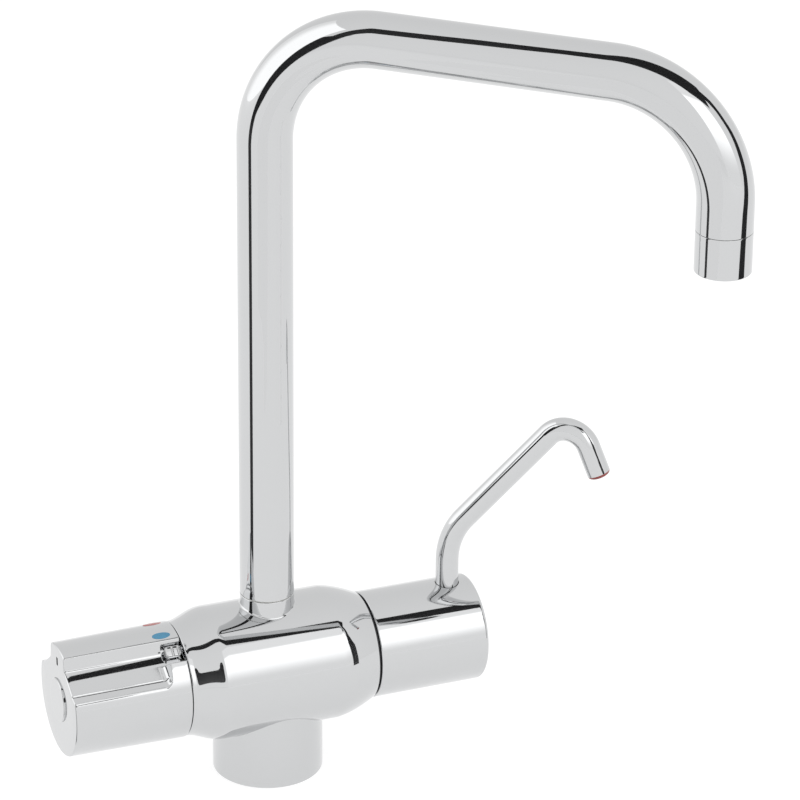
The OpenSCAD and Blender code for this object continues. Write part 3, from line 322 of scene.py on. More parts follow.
# Below the outlet card hangs the blind, black underneath and white on top, so that the
# body's right shoulder sees it dark and the spout's column doesn't see it. Its two sides
# are bearings at four heights, as the blind's spot on that shoulder sees them.
blind_spot = Vector((0.032, -0.027, 0))
blind_slats = 13
blind_foot = 0.03
blind_tall = 0.18
blind_near = 0.24
blind_far = 0.323
blind_pivot = 0.28
blind_heights = (0.03, 0.12, 0.20, 0.255)
blind_sides = ((38.1, 39.1, 40.8, 43.9), (47.3, 48.6, 51.4, 52.3))
slat_slope = math.tan(math.radians(15))
slat_lift = 0.0001
for number in range(blind_slats):
    low = blind_foot + blind_tall * (number + 0.5) / blind_slats
    left, right = (np.interp(low, blind_heights, bearings) for bearings in blind_sides)
    for name, lift in (("slat_%02d", 0.0), ("slat_top_%02d", slat_lift)):
        dark_card(name % number, [
            blind_spot + seen_at(bearing, away, low + lift - (away - blind_pivot) * slat_slope)
            for bearing, away in ((left, blind_near), (right, blind_near), (right, blind_far),
                                  (left, blind_far))])
    bpy.data.objects["slat_top_%02d" % number].data.materials[0] = card_white


# ---------------------------------------------------------------- Mixer body
# One brass casting: the pedestal, the barrel with its bulge and the boss for the spout.
# It is turned and ground, and polished before it is nickel and chromium plated.
axis_up = 51.3
bulge_r = 30.4
body_left = 44.2
body_right = 45.0
neck_left_r = 26.0
neck_right_r = 25.0
shoulder = 17.8
left_ease = 1.1
right_ease = 1.6
shoulder_steps = 56
edge = 0.5
pedestal_r = 25.0
pedestal_edge = 0.4
pedestal_fillet = 0.8
fillet_steps = 12
boss_r = 12.2
boss_top = 87.3
boss_edge = 0.25
boss_fillet = 1.0
mouth_r = 9.2
mouth_deep = 24.8
cartridge_bore_r = 19.0
cartridge_floor = 12.0
headwork_bore_r = 13.0
headwork_floor = 16.0
water_way_r = 3.4
sole_bores = ((-5, -9, 5), (-5, 9, 5), (9, 6, 5), (9, -6, 4))
sole_bore_deep = 18
along_barrel = Matrix.Translation((0, 0, axis_up * mm)) @ Matrix.Rotation(math.pi / 2, 4, "Y")


def arc(centre_r, centre_h, radius, start, stop, steps):
    """Points (r, h) on a circle, from start to stop degrees, where 0 points away from the axis."""
    points = []
    for i in range(steps + 1):
        a = math.radians(start + (stop - start) * i / steps)
        points.append((centre_r + radius * math.cos(a), centre_h + radius * math.sin(a)))
    return points


def turned(outline, place, steps=144, closed=False):
    """Spins an outline of (r, h) points in millimetres round the local Z axis, as on a lathe."""
    bm = bmesh.new()
    line = [bm.verts.new((r * mm, 0, h * mm)) for r, h in outline]
    for a, b in zip(line, line[1:] + line[:1] if closed else line[1:]):
        bm.edges.new((a, b))
    bmesh.ops.spin(bm, geom=bm.verts[:] + bm.edges[:], cent=(0, 0, 0), axis=(0, 0, 1),
                   angle=2 * math.pi, steps=steps, use_merge=True)
    bmesh.ops.remove_doubles(bm, verts=bm.verts, dist=1e-7)
    bmesh.ops.recalc_face_normals(bm, faces=bm.faces)
    bmesh.ops.transform(bm, matrix=place, verts=bm.verts)
    return bm


def piece_from(bm, name, material, sharp=30):
    """Makes the finished mesh an object whose edges over the sharp angle stay crisp."""
    piece = object_from(bm, name)
    piece.data.polygons.foreach_set("use_smooth", [True] * len(piece.data.polygons))
    piece.data.set_sharp_from_angle(angle=math.radians(sharp))
    piece.data.materials.append(material)
    return piece


def joined(first, *others):
    """Adds the other shells to the first bmesh."""
    for other in others:
        shell = bpy.data.meshes.new("shell")
        other.to_mesh(shell)
        other.free()
        first.from_mesh(shell)
        bpy.data.meshes.remove(shell)
    return first


def verts_of(geometry):
    return [g for g in geometry if isinstance(g, bmesh.types.BMVert)]


def edges_of(geometry):
    return [g for g in geometry if isinstance(g, bmesh.types.BMEdge)]


def noise_on(material, scale, detail):
    """Noise that keeps its place on the piece."""
    nodes, links = material.node_tree.nodes, material.node_tree.links
    where = nodes.new("ShaderNodeTexCoord")
    noise = nodes.new("ShaderNodeTexNoise")
    noise.inputs["Scale"].default_value = scale
    noise.inputs["Detail"].default_value = detail
    links.new(where.outputs["Object"], noise.inputs["Vector"])
    return noise


def roughened(material, noise, start, stop, low, high):
    """Makes the roughness go from low to high as the noise goes from start to stop."""
    spread = ranged(material.node_tree, noise.outputs["Fac"], start, stop, low, high)
    shader = material.node_tree.nodes["Principled BSDF"]
    material.node_tree.links.new(spread.outputs["Result"], shader.inputs["Roughness"])


def embossed(material, noise, strength, height):
    """Gives the surface a relief that follows the noise, with its height in metres."""
    nodes, links = material.node_tree.nodes, material.node_tree.links
    relief = nodes.new("ShaderNodeBump")
    relief.inputs["Strength"].default_value = strength
    relief.inputs["Distance"].default_value = height
    links.new(noise.outputs["Fac"], relief.inputs["Height"])
    links.new(relief.outputs["Normal"], nodes["Principled BSDF"].inputs["Normal"])


def chrome_plate(name, wave_scale, wave_height):
    """Chromium plate: bright, with faint polishing haze and the long waves of the metal under it."""
    plate = bpy.data.materials.new(name)
    plate.use_nodes = True
    shader = plate.node_tree.nodes["Principled BSDF"]
    shader.inputs["Base Color"].default_value = (0.600, 0.606, 0.612, 1)
    shader.inputs["Metallic"].default_value = 1.0
    haze = noise_on(plate, 55.0, 6.0)
    haze.inputs["Roughness"].default_value = 0.65
    roughened(plate, haze, 0.3, 0.75, 0.025, 0.065)
    embossed(plate, noise_on(plate, wave_scale, 1.0), 1.0, wave_height)
    return plate


def left_shoulder(t):
    return neck_left_r + (bulge_r - neck_left_r) * (0.5 + 0.5 * math.cos(math.pi * t ** left_ease))


def right_shoulder(t):
    return neck_right_r + (bulge_r - neck_right_r) * (1 - t ** right_ease)


barrel_outline = [(cartridge_bore_r, -body_left)]
barrel_outline += arc(neck_left_r - edge, -body_left + edge, edge, -90, 0, 6)
barrel_outline += [(left_shoulder(1 - i / shoulder_steps),
                    -body_left + edge + (shoulder - edge) * i / shoulder_steps)
                   for i in range(1, shoulder_steps + 1)]
barrel_outline += [(bulge_r, x) for x in (-26.0, -20, -12, 0, 12, 20, 26.8)]
barrel_outline += [(right_shoulder(i / shoulder_steps),
                    body_right - shoulder + (shoulder - edge) * i / shoulder_steps)
                   for i in range(shoulder_steps + 1)]
barrel_outline += arc(neck_right_r - edge, body_right - edge, edge, 30, 90, 2)
barrel_outline += [(headwork_bore_r, body_right), (headwork_bore_r, headwork_floor),
                   (water_way_r, headwork_floor), (water_way_r, -cartridge_floor),
                   (cartridge_bore_r, -cartridge_floor)]
barrel_shell = turned(barrel_outline, along_barrel, steps=192, closed=True)


def ball_fillet(a, radius, side, fillet, share):
    """A point of the fillet that a ball rolls between an upright round post and the barrel.
    side is 1 above the barrel's axis and -1 below it; share runs from the post to the barrel."""
    centre_x = (radius + fillet) * math.cos(a)
    centre_y = (radius + fillet) * math.sin(a)
    rise = math.sqrt((bulge_r + fillet) ** 2 - centre_y ** 2)
    to_post = Vector((-math.cos(a), -math.sin(a), 0))
    to_barrel = Vector((0, -centre_y, -side * rise)).normalized()
    blended = to_post.slerp(to_barrel, share)
    centre = Vector((centre_x, centre_y, axis_up + side * rise))
    return centre + blended * fillet


def tucked_in(a, radius, side, fillet):
    """The fillet's last ring runs on along the barrel, just under its skin."""
    run_on = 0.5
    under = 0.03
    on = ball_fillet(a, radius, side, fillet, 1)
    y = on.y + math.sin(a) * run_on
    z = side * math.sqrt((bulge_r - under) ** 2 - y ** 2)
    return Vector((on.x + math.cos(a) * run_on, y, axis_up + z))


def post_shell(radius, end_h, side, fillet, edge_in):
    """An upright round post from end_h to the barrel, with an edge at its end and a fillet."""
    bm = bmesh.new()
    bmesh.ops.create_circle(bm, cap_ends=False, radius=(radius - edge_in) * mm, segments=192)
    bmesh.ops.translate(bm, vec=(0, 0, end_h * mm), verts=bm.verts)
    rim = bm.edges[:]

    def grow(edges, shape):
        grown = bmesh.ops.extrude_edge_only(bm, edges=edges)["geom"]
        for v in verts_of(grown):
            v.co = shape(math.atan2(v.co.y, v.co.x)) * mm
        return edges_of(grown)

    for turn in (30, 60, 90):
        t = math.radians(turn)
        edge_r = radius - edge_in * (1 - math.sin(t))
        rim = grow(rim, lambda a: Vector((edge_r * math.cos(a), edge_r * math.sin(a),
                                          end_h - side * edge_in * (1 - math.cos(t)))))
    for share in (0.04, 0.5, 0.92, 0.98):
        rim = grow(rim, lambda a: Vector((radius * math.cos(a), radius * math.sin(a),
                                          (end_h - side * edge_in) * (1 - share)
                                          + ball_fillet(a, radius, side, fillet, 0).z * share)))
    for step in range(fillet_steps + 1):
        rim = grow(rim, lambda a: ball_fillet(a, radius, side, fillet, step / fillet_steps))
    grow(rim, lambda a: tucked_in(a, radius, side, fillet))
    return bm


pedestal_shell = post_shell(pedestal_r, 0.0, -1, pedestal_fillet, pedestal_edge)
boss_shell = post_shell(boss_r, boss_top, 1, boss_fillet, boss_edge)
boss_mouth = [e for e in boss_shell.edges if e.is_boundary and e.verts[0].co.z > (boss_top - 0.01) * mm]
mouth_in = bmesh.ops.extrude_edge_only(boss_shell, edges=boss_mouth)["geom"]
mouth_share = mouth_r / (boss_r - boss_edge)
bmesh.ops.scale(boss_shell, vec=(mouth_share, mouth_share, 1), verts=verts_of(mouth_in))
mouth_down = bmesh.ops.extrude_edge_only(boss_shell, edges=edges_of(mouth_in))["geom"]
bmesh.ops.translate(boss_shell, vec=(0, 0, -mouth_deep * mm), verts=verts_of(mouth_down))
bmesh.ops.recalc_face_normals(boss_shell, faces=boss_shell.faces)

sole = [e for e in pedestal_shell.edges if e.is_boundary and e.verts[0].co.z < 0.01 * mm]
for at_x, at_y, hole_r in sole_bores:
    ring = bmesh.ops.create_circle(pedestal_shell, cap_ends=False, radius=hole_r * mm, segments=48,
                                   matrix=Matrix.Translation((at_x * mm, at_y * mm, 0)))["verts"]
    ring_edges = list({e for v in ring for e in v.link_edges})
    sole += ring_edges
    bore = bmesh.ops.extrude_edge_only(pedestal_shell, edges=ring_edges)["geom"]
    bmesh.ops.translate(pedestal_shell, vec=(0, 0, sole_bore_deep * mm), verts=verts_of(bore))
bmesh.ops.triangle_fill(pedestal_shell, use_beauty=True, use_dissolve=False, edges=sole)
bmesh.ops.recalc_face_normals(pedestal_shell, faces=pedestal_shell.faces)

body_chrome = chrome_plate("body_chrome", 34.0, 0.00003)
mixer_body = piece_from(joined(barrel_shell, pedestal_shell, boss_shell), "mixer_body_casting",
                        body_chrome, 35)
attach(mixer_body, "fixed_body")
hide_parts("mixer_body")


# ---------------------------------------------------------------- Main spout
# A thin brass tube of one piece, drawn and bent twice on a mandrel, then polished along
# its length and plated. It stands in the boss and swings about it.
spout_r = 12.2
spout_wall = 1.2
spout_foot = 87.8
spout_turn = -42
arm_up = 356.0
column_bend = 52.0
outlet_bend = 50.6
reach = 204.4
tube_end = 293.65
rim_edge = 0.12
steps_a_degree = 0.8
around_spout = Matrix.Rotation(math.radians(spout_turn), 4, "Z")


def swept_tube(radius, foot, moves, place, sides=96):
    """A tube wall that starts as a ring at the foot, looking up, and goes through the moves:
    ("straight", length) or ("bend", radius, degrees) towards +X in the spout's own plane."""
    bm = bmesh.new()
    bmesh.ops.create_circle(bm, cap_ends=False, radius=radius * mm, segments=sides)
    bmesh.ops.translate(bm, vec=(0, 0, foot * mm), verts=bm.verts)
    rim = bm.edges[:]
    at = Vector((0, 0, foot))
    tilt = 0.0
    for move in moves:
        if move[0] == "straight":
            heading = Vector((math.sin(tilt), 0, math.cos(tilt)))
            near = min(1.0, move[1] / 4)
            for step in (near, move[1] / 2 - near, move[1] / 2 - near, near):
                grown = bmesh.ops.extrude_edge_only(bm, edges=rim)["geom"]
                bmesh.ops.translate(bm, vec=heading * step * mm, verts=verts_of(grown))
                rim = edges_of(grown)
            at += heading * move[1]
        else:
            sweep = math.radians(move[2])
            centre = at + Vector((math.cos(tilt), 0, -math.sin(tilt))) * move[1]
            grown = bmesh.ops.spin(bm, geom=rim, cent=centre * mm, axis=(0, 1, 0), angle=sweep,
                                   steps=max(8, round(move[2] * steps_a_degree)),
                                   use_merge=False)["geom_last"]
            rim = edges_of(grown)
            at = centre + (Matrix.Rotation(sweep, 3, "Y") @ (at - centre))
            tilt += sweep
    bmesh.ops.recalc_face_normals(bm, faces=bm.faces)
    bmesh.ops.transform(bm, matrix=place, verts=bm.verts)
    return bm


def tube_wall(piece, wall):
    """Gives a swept tube its wall and breaks the edges of its two ends."""
    thick = piece.modifiers.new("wall", "SOLIDIFY")
    thick.thickness = wall * mm
    thick.offset = -1
    thick.use_even_offset = True
    rims = piece.modifiers.new("rims", "BEVEL")
    rims.width = rim_edge * mm
    rims.segments = 2
    rims.limit_method = "ANGLE"
    rims.angle_limit = math.radians(60)
    rims.harden_normals = True


tube_chrome = chrome_plate("tube_chrome", 22.0, 0.00001)
main_spout = piece_from(swept_tube(spout_r, spout_foot, (
    ("straight", arm_up - column_bend - spout_foot),
    ("bend", column_bend, 90),
    ("straight", reach - column_bend - outlet_bend),
    ("bend", outlet_bend, 90),
    ("straight", arm_up - outlet_bend - tube_end)), around_spout, sides=144),
    "main_spout_bent_tube", tube_chrome)
tube_wall(main_spout, spout_wall)
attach(main_spout, "main_spout")
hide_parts("main_spout_tube")


# ---------------------------------------------------------------- Aerator housing
# A turned brass ring with a spigot that is pressed into the spout's end. It is plated
# with the spout, and a fine seam shows between them.
outlet_z = 275.2
housing_top = 293.5
housing_in_r = 10.4
housing_in_edge = 0.25
housing_in_deep = 14
spigot_r = 10.95
spigot_in_r = 8.4
spigot_long = 7
below_spout = around_spout @ Matrix.Translation((reach * mm, 0, 0))
housing_outline = [(housing_in_r, outlet_z + housing_in_deep), (housing_in_r, outlet_z + housing_in_edge)]
housing_outline += arc(housing_in_r + housing_in_edge, outlet_z + housing_in_edge, housing_in_edge,
                       180, 270, 4)
housing_outline += arc(spout_r - edge, outlet_z + edge, edge, -90, 0, 8)
housing_outline += [(spout_r, outlet_z + edge + 0.4), (spout_r, housing_top - 0.5)]
housing_outline += arc(spout_r - rim_edge, housing_top - rim_edge, rim_edge, 0, 90, 3)
housing_outline += [(spigot_r, housing_top), (spigot_r, housing_top + spigot_long),
                    (spigot_in_r, housing_top + spigot_long), (spigot_in_r, outlet_z + housing_in_deep)]
aerator_housing = piece_from(turned(housing_outline, below_spout, closed=True), "aerator_housing_ring",
                             tube_chrome)
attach(aerator_housing, "main_spout")
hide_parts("aerator_housing")


# ---------------------------------------------------------------- Flow handle
# A deep turned cup of brass with one rounded end, plated. The small spout stands in a
# hole through its top, and a set screw underneath holds it on the block inside.
handle_r = 24.4
handle_start = 46.3
handle_end = 98.5
handle_bore_r = 20.5
handle_bore_end = 95.0
handle_edge = 1.4
small_x = 87.2
small_hole_r = 5.5
set_screw_x = 75.5
set_screw_r = 2.5
drill_from = 14
drill_deep = 14


def cut_away(piece, cutter_shape, sharp=30):
    """Takes the cutter's shape out of the piece for good."""
    cutter = object_from(cutter_shape, "cutter")
    cutter_mesh = cutter.data
    cut = piece.modifiers.new("cut", "BOOLEAN")
    cut.operation = "DIFFERENCE"
    cut.solver = "EXACT"
    cut.object = cutter
    ready = piece.evaluated_get(bpy.context.evaluated_depsgraph_get())
    cut_mesh = bpy.data.meshes.new_from_object(ready)
    piece.modifiers.remove(cut)
    old_mesh = piece.data
    piece.data = cut_mesh
    bpy.data.meshes.remove(old_mesh)
    bpy.data.objects.remove(cutter)
    bpy.data.meshes.remove(cutter_mesh)
    piece.data.set_sharp_from_angle(angle=math.radians(sharp))


def drill_bit(start, heading, radius, depth, stretch=1.0):
    """A round bit, in millimetres. A stretch makes it long along X, as a slot mill's path is."""
    bm = bmesh.new()
    bmesh.ops.create_cone(bm, cap_ends=True, segments=96, radius1=radius * mm, radius2=radius * mm,
                          depth=depth * mm)
    bmesh.ops.scale(bm, vec=(stretch, 1, 1), verts=bm.verts)
    along = Vector(heading).normalized()
    side = Vector((1, 0, 0))
    turn = Matrix((side, along.cross(side), along)).transposed().to_4x4() if abs(along.x) < 0.01 else (
        Vector((0, 0, 1)).rotation_difference(along).to_matrix().to_4x4())
    bmesh.ops.transform(bm, matrix=Matrix.Translation((Vector(start) + along * depth / 2) * mm) @ turn,
                        verts=bm.verts)
    return bm


handle_outline = [(handle_bore_r, handle_start)]
handle_outline += arc(handle_r - edge, handle_start + edge, edge, -90, 0, 6)
handle_outline += [(handle_r, handle_start + edge + 0.5), (handle_r, 60), (handle_r, 72), (handle_r, 84),
                   (handle_r, handle_end - handle_edge - 0.5)]
handle_outline += arc(handle_r - handle_edge, handle_end - handle_edge, handle_edge, 0, 90, 16)
handle_outline += [(handle_r - handle_edge - 0.6, handle_end), (14, handle_end), (0, handle_end)]
cup_inside = [(0, handle_bore_end), (handle_bore_r, handle_bore_end)]
flow_handle = piece_from(turned(handle_outline + cup_inside, along_barrel, steps=240, closed=True),
                         "flow_handle_cup", body_chrome)
cut_away(flow_handle, drill_bit((small_x, 0, axis_up + drill_from), (0, 0, 1), small_hole_r, drill_deep))
cut_away(flow_handle, drill_bit((set_screw_x, 0, axis_up - drill_from), (0, 0, -1), set_screw_r,
                                drill_deep))
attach(flow_handle, "flow_control")
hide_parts("flow_barrel")


# ---------------------------------------------------------------- Small spout
# A slim drawn tube with two bends, polished and plated, that carries near-boiling water
# from the flow handle. It is held in the block by a clip and sealed by two O-rings.
small_r = 5.25
small_wall = 1.2
small_foot = axis_up + 7.5
small_bend_r = 36.5
small_bend_up = axis_up + handle_r + 11.3
small_slope = 51
small_run = 61.5
small_hook_r = 11
small_drop = 67
small_tail = 13
from_handle = Matrix.Translation((small_x * mm, 0, 0)) @ around_spout

small_spout = piece_from(swept_tube(small_r, small_foot, (
    ("straight", small_bend_up - small_foot),
    ("bend", small_bend_r, 90 - small_slope),
    ("straight", small_run),
    ("bend", small_hook_r, small_drop + small_slope),
    ("straight", small_tail)), from_handle, sides=80), "small_spout_bent_tube", tube_chrome)
tube_wall(small_spout, small_wall)
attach(small_spout, "small_spout")
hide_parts("small_spout_tube")


# ---------------------------------------------------------------- Red nozzle
# A moulded plug of heat-proof red plastic in the small spout's end. Its colour warns of
# the hot water, and the water leaves by the hole through it.
nozzle_out_r = 5.1
nozzle_rise = 1.8
nozzle_round = 2.8
nozzle_plug_r = 4.0
nozzle_bore_r = 2.2
nozzle_plug_long = 6


def tinted(material, noise, *stops):
    """Makes the colour follow the noise between two stops: (place in the noise, colour)."""
    nodes, links = material.node_tree.nodes, material.node_tree.links
    tint = nodes.new("ShaderNodeValToRGB")
    for element, (position, colour) in zip(tint.color_ramp.elements, stops):
        element.position = position
        element.color = tuple(colour) + (1,)
    links.new(noise.outputs["Fac"], tint.inputs["Fac"])
    links.new(tint.outputs["Color"], nodes["Principled BSDF"].inputs["Base Color"])


def moulded_plastic(name, colour, shine, grain_scale, grain_height, blotch):
    """Moulded plastic: a fine spark-eroded grain and faint flow clouds in its colour."""
    plastic = bpy.data.materials.new(name)
    plastic.use_nodes = True
    tinted(plastic, noise_on(plastic, 160.0, 3.0), (0.3, [c * (1 - blotch) for c in colour]),
           (0.7, [min(1, c * (1 + blotch)) for c in colour]))
    grain = noise_on(plastic, grain_scale, 4.0)
    roughened(plastic, grain, 0.3, 0.7, shine, shine + 0.12)
    embossed(plastic, grain, 0.6, grain_height)
    return plastic


slope = math.radians(small_slope)
drop = math.radians(small_drop)
bend_turn = math.radians(90 - small_slope)
nozzle_s = (small_bend_r * (1 - math.cos(bend_turn)) + small_run * math.cos(slope)
            + small_hook_r * (math.sin(slope) + math.sin(drop)) + small_tail * math.cos(drop))
nozzle_z = (small_bend_up + small_bend_r * math.sin(bend_turn) + small_run * math.sin(slope)
            - small_hook_r * (math.cos(slope) - math.cos(drop)) - small_tail * math.sin(drop))
at_tip = from_handle @ Matrix.Translation((nozzle_s * mm, 0, nozzle_z * mm)) @ Matrix.Rotation(
    math.radians(90 + small_drop), 4, "Y")
nozzle_outline = [(nozzle_plug_r, -nozzle_plug_long), (nozzle_plug_r, 0), (nozzle_out_r - 0.1, 0),
                  (nozzle_out_r, 0.08)]
nozzle_outline += [(nozzle_out_r - nozzle_round * (1 - math.cos(math.radians(a))),
                    nozzle_rise * math.sin(math.radians(a))) for a in range(6, 91, 6)]
nozzle_outline += [(nozzle_bore_r + 0.15, nozzle_rise), (nozzle_bore_r, nozzle_rise - 0.2),
                   (nozzle_bore_r, -nozzle_plug_long)]
red_plastic = moulded_plastic("nozzle_red", (0.40, 0.07, 0.06), 0.3, 2600.0, 0.00001, 0.06)
hot_nozzle = piece_from(turned(nozzle_outline, at_tip, steps=72, closed=True), "hot_nozzle_dome",
                        red_plastic)
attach(hot_nozzle, "small_spout")
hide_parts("hot_nozzle")


# ---------------------------------------------------------------- Temperature knob
# A cast and turned knob with two long grip grooves, buffed and plated. The blue and red
# marks are enamel run into two shallow pockets and wiped level.
knob_start = 44.6
knob_end = 98.5
knob_seam_r = 26.4
knob_end_r = 25.8
knob_seam_edge = 0.5
knob_end_edge = 0.9
knob_cavity_r = 17.5
knob_cavity_end = 90.0
knob_tilt = 2.5
knob_screw_r = 2.3
knob_face_r = 18.4
cap_r = 10.0
cap_gap = 0.05
cap_depth = 4.5
groove_turn = 45.0
groove_top_half = 10.47
groove_rim = 0.22
groove_end = 53.0
scoop_r = 3.5
scoop_steepest = 0.97
scoop_wall_slope = 3.99
slot_side = -0.7
slot_lean = 0.04
slot_round = 0.5
slot_end_round = 0.2
pocket_floor = 19.4
pocket_middle = 5.2
pocket_half = 2.85
pocket_upper_half = 2.6
pocket_upper_lean = (0.93, 0.37)
pocket_end = 53.8
pocket_end_round = 0.8
pocket_floor_round = 0.2
soft_edge = 0.4
deepest_cut = 18.2
carved_from = 24.0
to_knob = Matrix.Translation((0, 0, axis_up * mm)) @ Matrix.Rotation(-math.pi / 2, 4, "Y")


def knob_radius(u):
    return knob_seam_r + (knob_end_r - knob_seam_r) * (u - knob_start) / (knob_end - knob_start)


def both_within(a, b, soft):
    """Where two shapes overlap, from their distances, with a round of this radius between them."""
    return np.minimum(-soft, np.maximum(a, b)) + np.hypot(np.maximum(a + soft, 0), np.maximum(b + soft, 0))


# The grooves' section: how far the skin leans at each place across it, in degrees. A short
# lower wall, a nearly flat floor that rises towards it, and a wide round to the upper wall.
section_step = 0.025
section_across = np.linspace(-16, 16, 1281)
section_slope = np.tan(np.radians(np.interp(
    section_across, (-10.75, -10.7, -7.95, -7.65, -7.1, -6.8, -6.6, -6.5, 0.0, 0.6, 4.7, 6.2, 10.4, 10.47),
    (-7.0, -28.5, -28.5, -9.0, -3.0, 11.0, 11.0, -10.8, -10.4, -8.9, -3.0, 37.5, 37.5, 12.0))))
section_rise = np.concatenate(([0], np.cumsum((section_slope[1:] + section_slope[:-1]) / 2 * section_step)))
section_rise += (math.sqrt(knob_seam_r ** 2 - groove_top_half ** 2) - groove_rim
                 - np.interp(groove_top_half, section_across, section_rise))


def groove_cutter(p, t, u, open_to_seam):
    """Distance to the milled groove: p is away from the knob's axis, t across, u along."""
    rise = np.interp(t, section_across, section_rise) + knob_radius(u) - knob_seam_r
    slope = np.interp(t, section_across, section_slope)
    into = np.clip((groove_end + scoop_r - u) / scoop_r, 0, scoop_steepest)
    past = np.maximum(groove_end + scoop_r * (1 - scoop_steepest) - u, 0)
    steep = into / np.sqrt(1 - into ** 2)
    scoop = scoop_r * (1 - np.sqrt(1 - into ** 2)) + past * scoop_wall_slope
    groove = (rise + scoop - p) / np.sqrt(1 + slope ** 2 + steep ** 2)
    if open_to_seam:
        sides = (rise - p) / np.sqrt(1 + slope ** 2)
        slot = both_within(sides, slot_side - t - slot_lean * (p - pocket_floor), slot_round)
        slot = both_within(slot, u - groove_end - scoop_r, slot_end_round)
        upper_wall = ((t - pocket_middle - pocket_upper_half) * pocket_upper_lean[0]
                      - (p - pocket_floor) * pocket_upper_lean[1])
        pocket = np.maximum(pocket_middle - pocket_half - t, upper_wall)
        pocket = both_within(pocket, u - pocket_end, pocket_end_round)
        pocket = both_within(pocket, pocket_floor - p, pocket_floor_round)
        groove = np.minimum(np.minimum(groove, slot), pocket)
    return groove


def carved_radius(turn, u):
    """How far the carved skin is from the knob's axis; turn runs from the top towards the back."""
    outside = knob_radius(u)
    low = np.full_like(outside, deepest_cut)
    high = outside + 0.6
    for halving in range(26):
        r = (low + high) / 2
        solid = r - outside
        for side, open_to_seam in ((-1, True), (1, False)):
            a = turn - math.radians(knob_tilt + side * groove_turn)
            cut = groove_cutter(r * np.cos(a), -side * r * np.sin(a), u, open_to_seam)
            solid = both_within(solid, -cut, soft_edge)
        low, high = np.where(solid < 0, r, low), np.where(solid < 0, high, r)
    return (low + high) / 2


rings = [46.1 + 0.9 * i for i in range(7)] + [52.3 + 0.09 * i for i in range(18)]
rings += [54.0 + 0.25 * i for i in range(13)] + [58.2 + 1.48 * i for i in range(27)]
knob_outline = [(knob_cavity_r, knob_start), (knob_face_r, knob_start)]
knob_outline += arc(knob_radius(knob_start) - knob_seam_edge, knob_start + knob_seam_edge, knob_seam_edge,
                    -90, 0, 6)
knob_outline += [(knob_radius(u), u) for u in rings]
knob_outline += arc(knob_radius(knob_end) - knob_end_edge, knob_end - knob_end_edge, knob_end_edge, 0, 90, 10)
knob_outline += [(knob_face_r, knob_end), (14, knob_end), (cap_r + cap_gap, knob_end),
                 (cap_r + cap_gap, knob_end - cap_depth), (knob_screw_r, knob_end - cap_depth),
                 (knob_screw_r, knob_cavity_end), (knob_cavity_r, knob_cavity_end)]
knob_columns = 560
knob_form = turned(knob_outline, Matrix.Identity(4), steps=knob_columns, closed=True)

# The lathe's even columns crowd together where the carving turns sharply: (place, how many
# times closer, half width), in degrees from the top towards the back.
crowded = [(knob_tilt - groove_turn - 1.8, 16, 1.0), (knob_tilt - groove_turn + 6.9, 7, 0.6),
           (knob_tilt - groove_turn + 22.5, 4, 0.8)]
for side in (-1, 1):
    middle = knob_tilt + side * groove_turn
    crowded += [(middle - side * 23.8, 14, 1.3), (middle + side * 25.6, 14, 1.3),
                (middle - side * 15.5, 6, 4.5), (middle + side * 17.8, 12, 2.2)]
even = np.linspace(-180, 180, 7201)
crowd = np.ones_like(even)
for place, times, half in crowded:
    crowd += times * np.exp(-((even - place) / half) ** 2)
run = np.concatenate(([0], np.cumsum((crowd[1:] + crowd[:-1]) / 2)))
column_turns = np.radians(np.interp(np.linspace(0, run[-1], knob_columns + 1), run, even))

knob_form.verts.ensure_lookup_table()
places = np.array([v.co[:] for v in knob_form.verts]) / mm
old_r = np.hypot(places[:, 0], places[:, 1])
old_turn = np.arctan2(places[:, 1], places[:, 0])
column = np.rint((old_turn + math.pi) / (2 * math.pi) * knob_columns).astype(int)
new_turn = column_turns[column]
skin = old_r > carved_from
inset = knob_radius(places[:, 2]) - old_r
new_r = old_r.copy()
new_r[skin] = carved_radius(new_turn[skin], places[skin, 2]) - inset[skin]
for v, r, a in zip(knob_form.verts, new_r, new_turn):
    v.co.x = r * math.cos(a) * mm
    v.co.y = r * math.sin(a) * mm
bmesh.ops.transform(knob_form, matrix=to_knob, verts=knob_form.verts)
bmesh.ops.recalc_face_normals(knob_form, faces=knob_form.faces)

knob_chrome = chrome_plate("knob_chrome", 40.0, 0.00002)
temperature_knob = piece_from(knob_form, "temperature_knob_shell", knob_chrome, 50)
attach(temperature_knob, "temperature_control")
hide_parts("temperature_knob")

mark_middle = 52.0
mark_long = 8.4
mark_wide = 4.2
mark_turn = 14.0
mark_floor = 25.72
mark_cut = 3
for side in (-1, 1):
    a = math.radians(knob_tilt + side * mark_turn)
    heading = Vector((0, math.sin(a), math.cos(a)))
    cut_away(temperature_knob, drill_bit(
        Vector((-mark_middle, 0, axis_up)) + heading * mark_floor, heading, mark_wide / 2, mark_cut,
        stretch=mark_long / mark_wide), 50)

# The button's stem passes through a hole in its pocket. The faces inside the notch in the knob's end get a
# black
# material: painted shade that stands in for the dark of this shallow recess.
button_across = 5.2
button_mid = 48.8
stem_r = 1.4
stem_gap = 0.1
stem_hole_from = 15
stem_hole_deep = 6
to_groove = to_knob @ Matrix.Rotation(math.radians(knob_tilt - groove_turn), 4, "Z")
stem_start = to_groove @ (Vector((stem_hole_from, button_across, button_mid)) * mm)
cut_away(temperature_knob, drill_bit(stem_start / mm, to_groove.to_3x3() @ Vector((1, 0, 0)),
                                     stem_r + stem_gap, stem_hole_deep), 50)
notch_at = 18.8
notch_size = Vector((3.8, 1.9, 1.0))
to_notch = to_knob @ Matrix.Rotation(math.radians(knob_tilt), 4, "Z") @ Matrix.Translation(
    (notch_at * mm, 0, knob_end * mm))
notch = bmesh.new()
bmesh.ops.create_cube(notch, size=1, matrix=to_notch @ Matrix.Diagonal((*notch_size * mm, 1)))
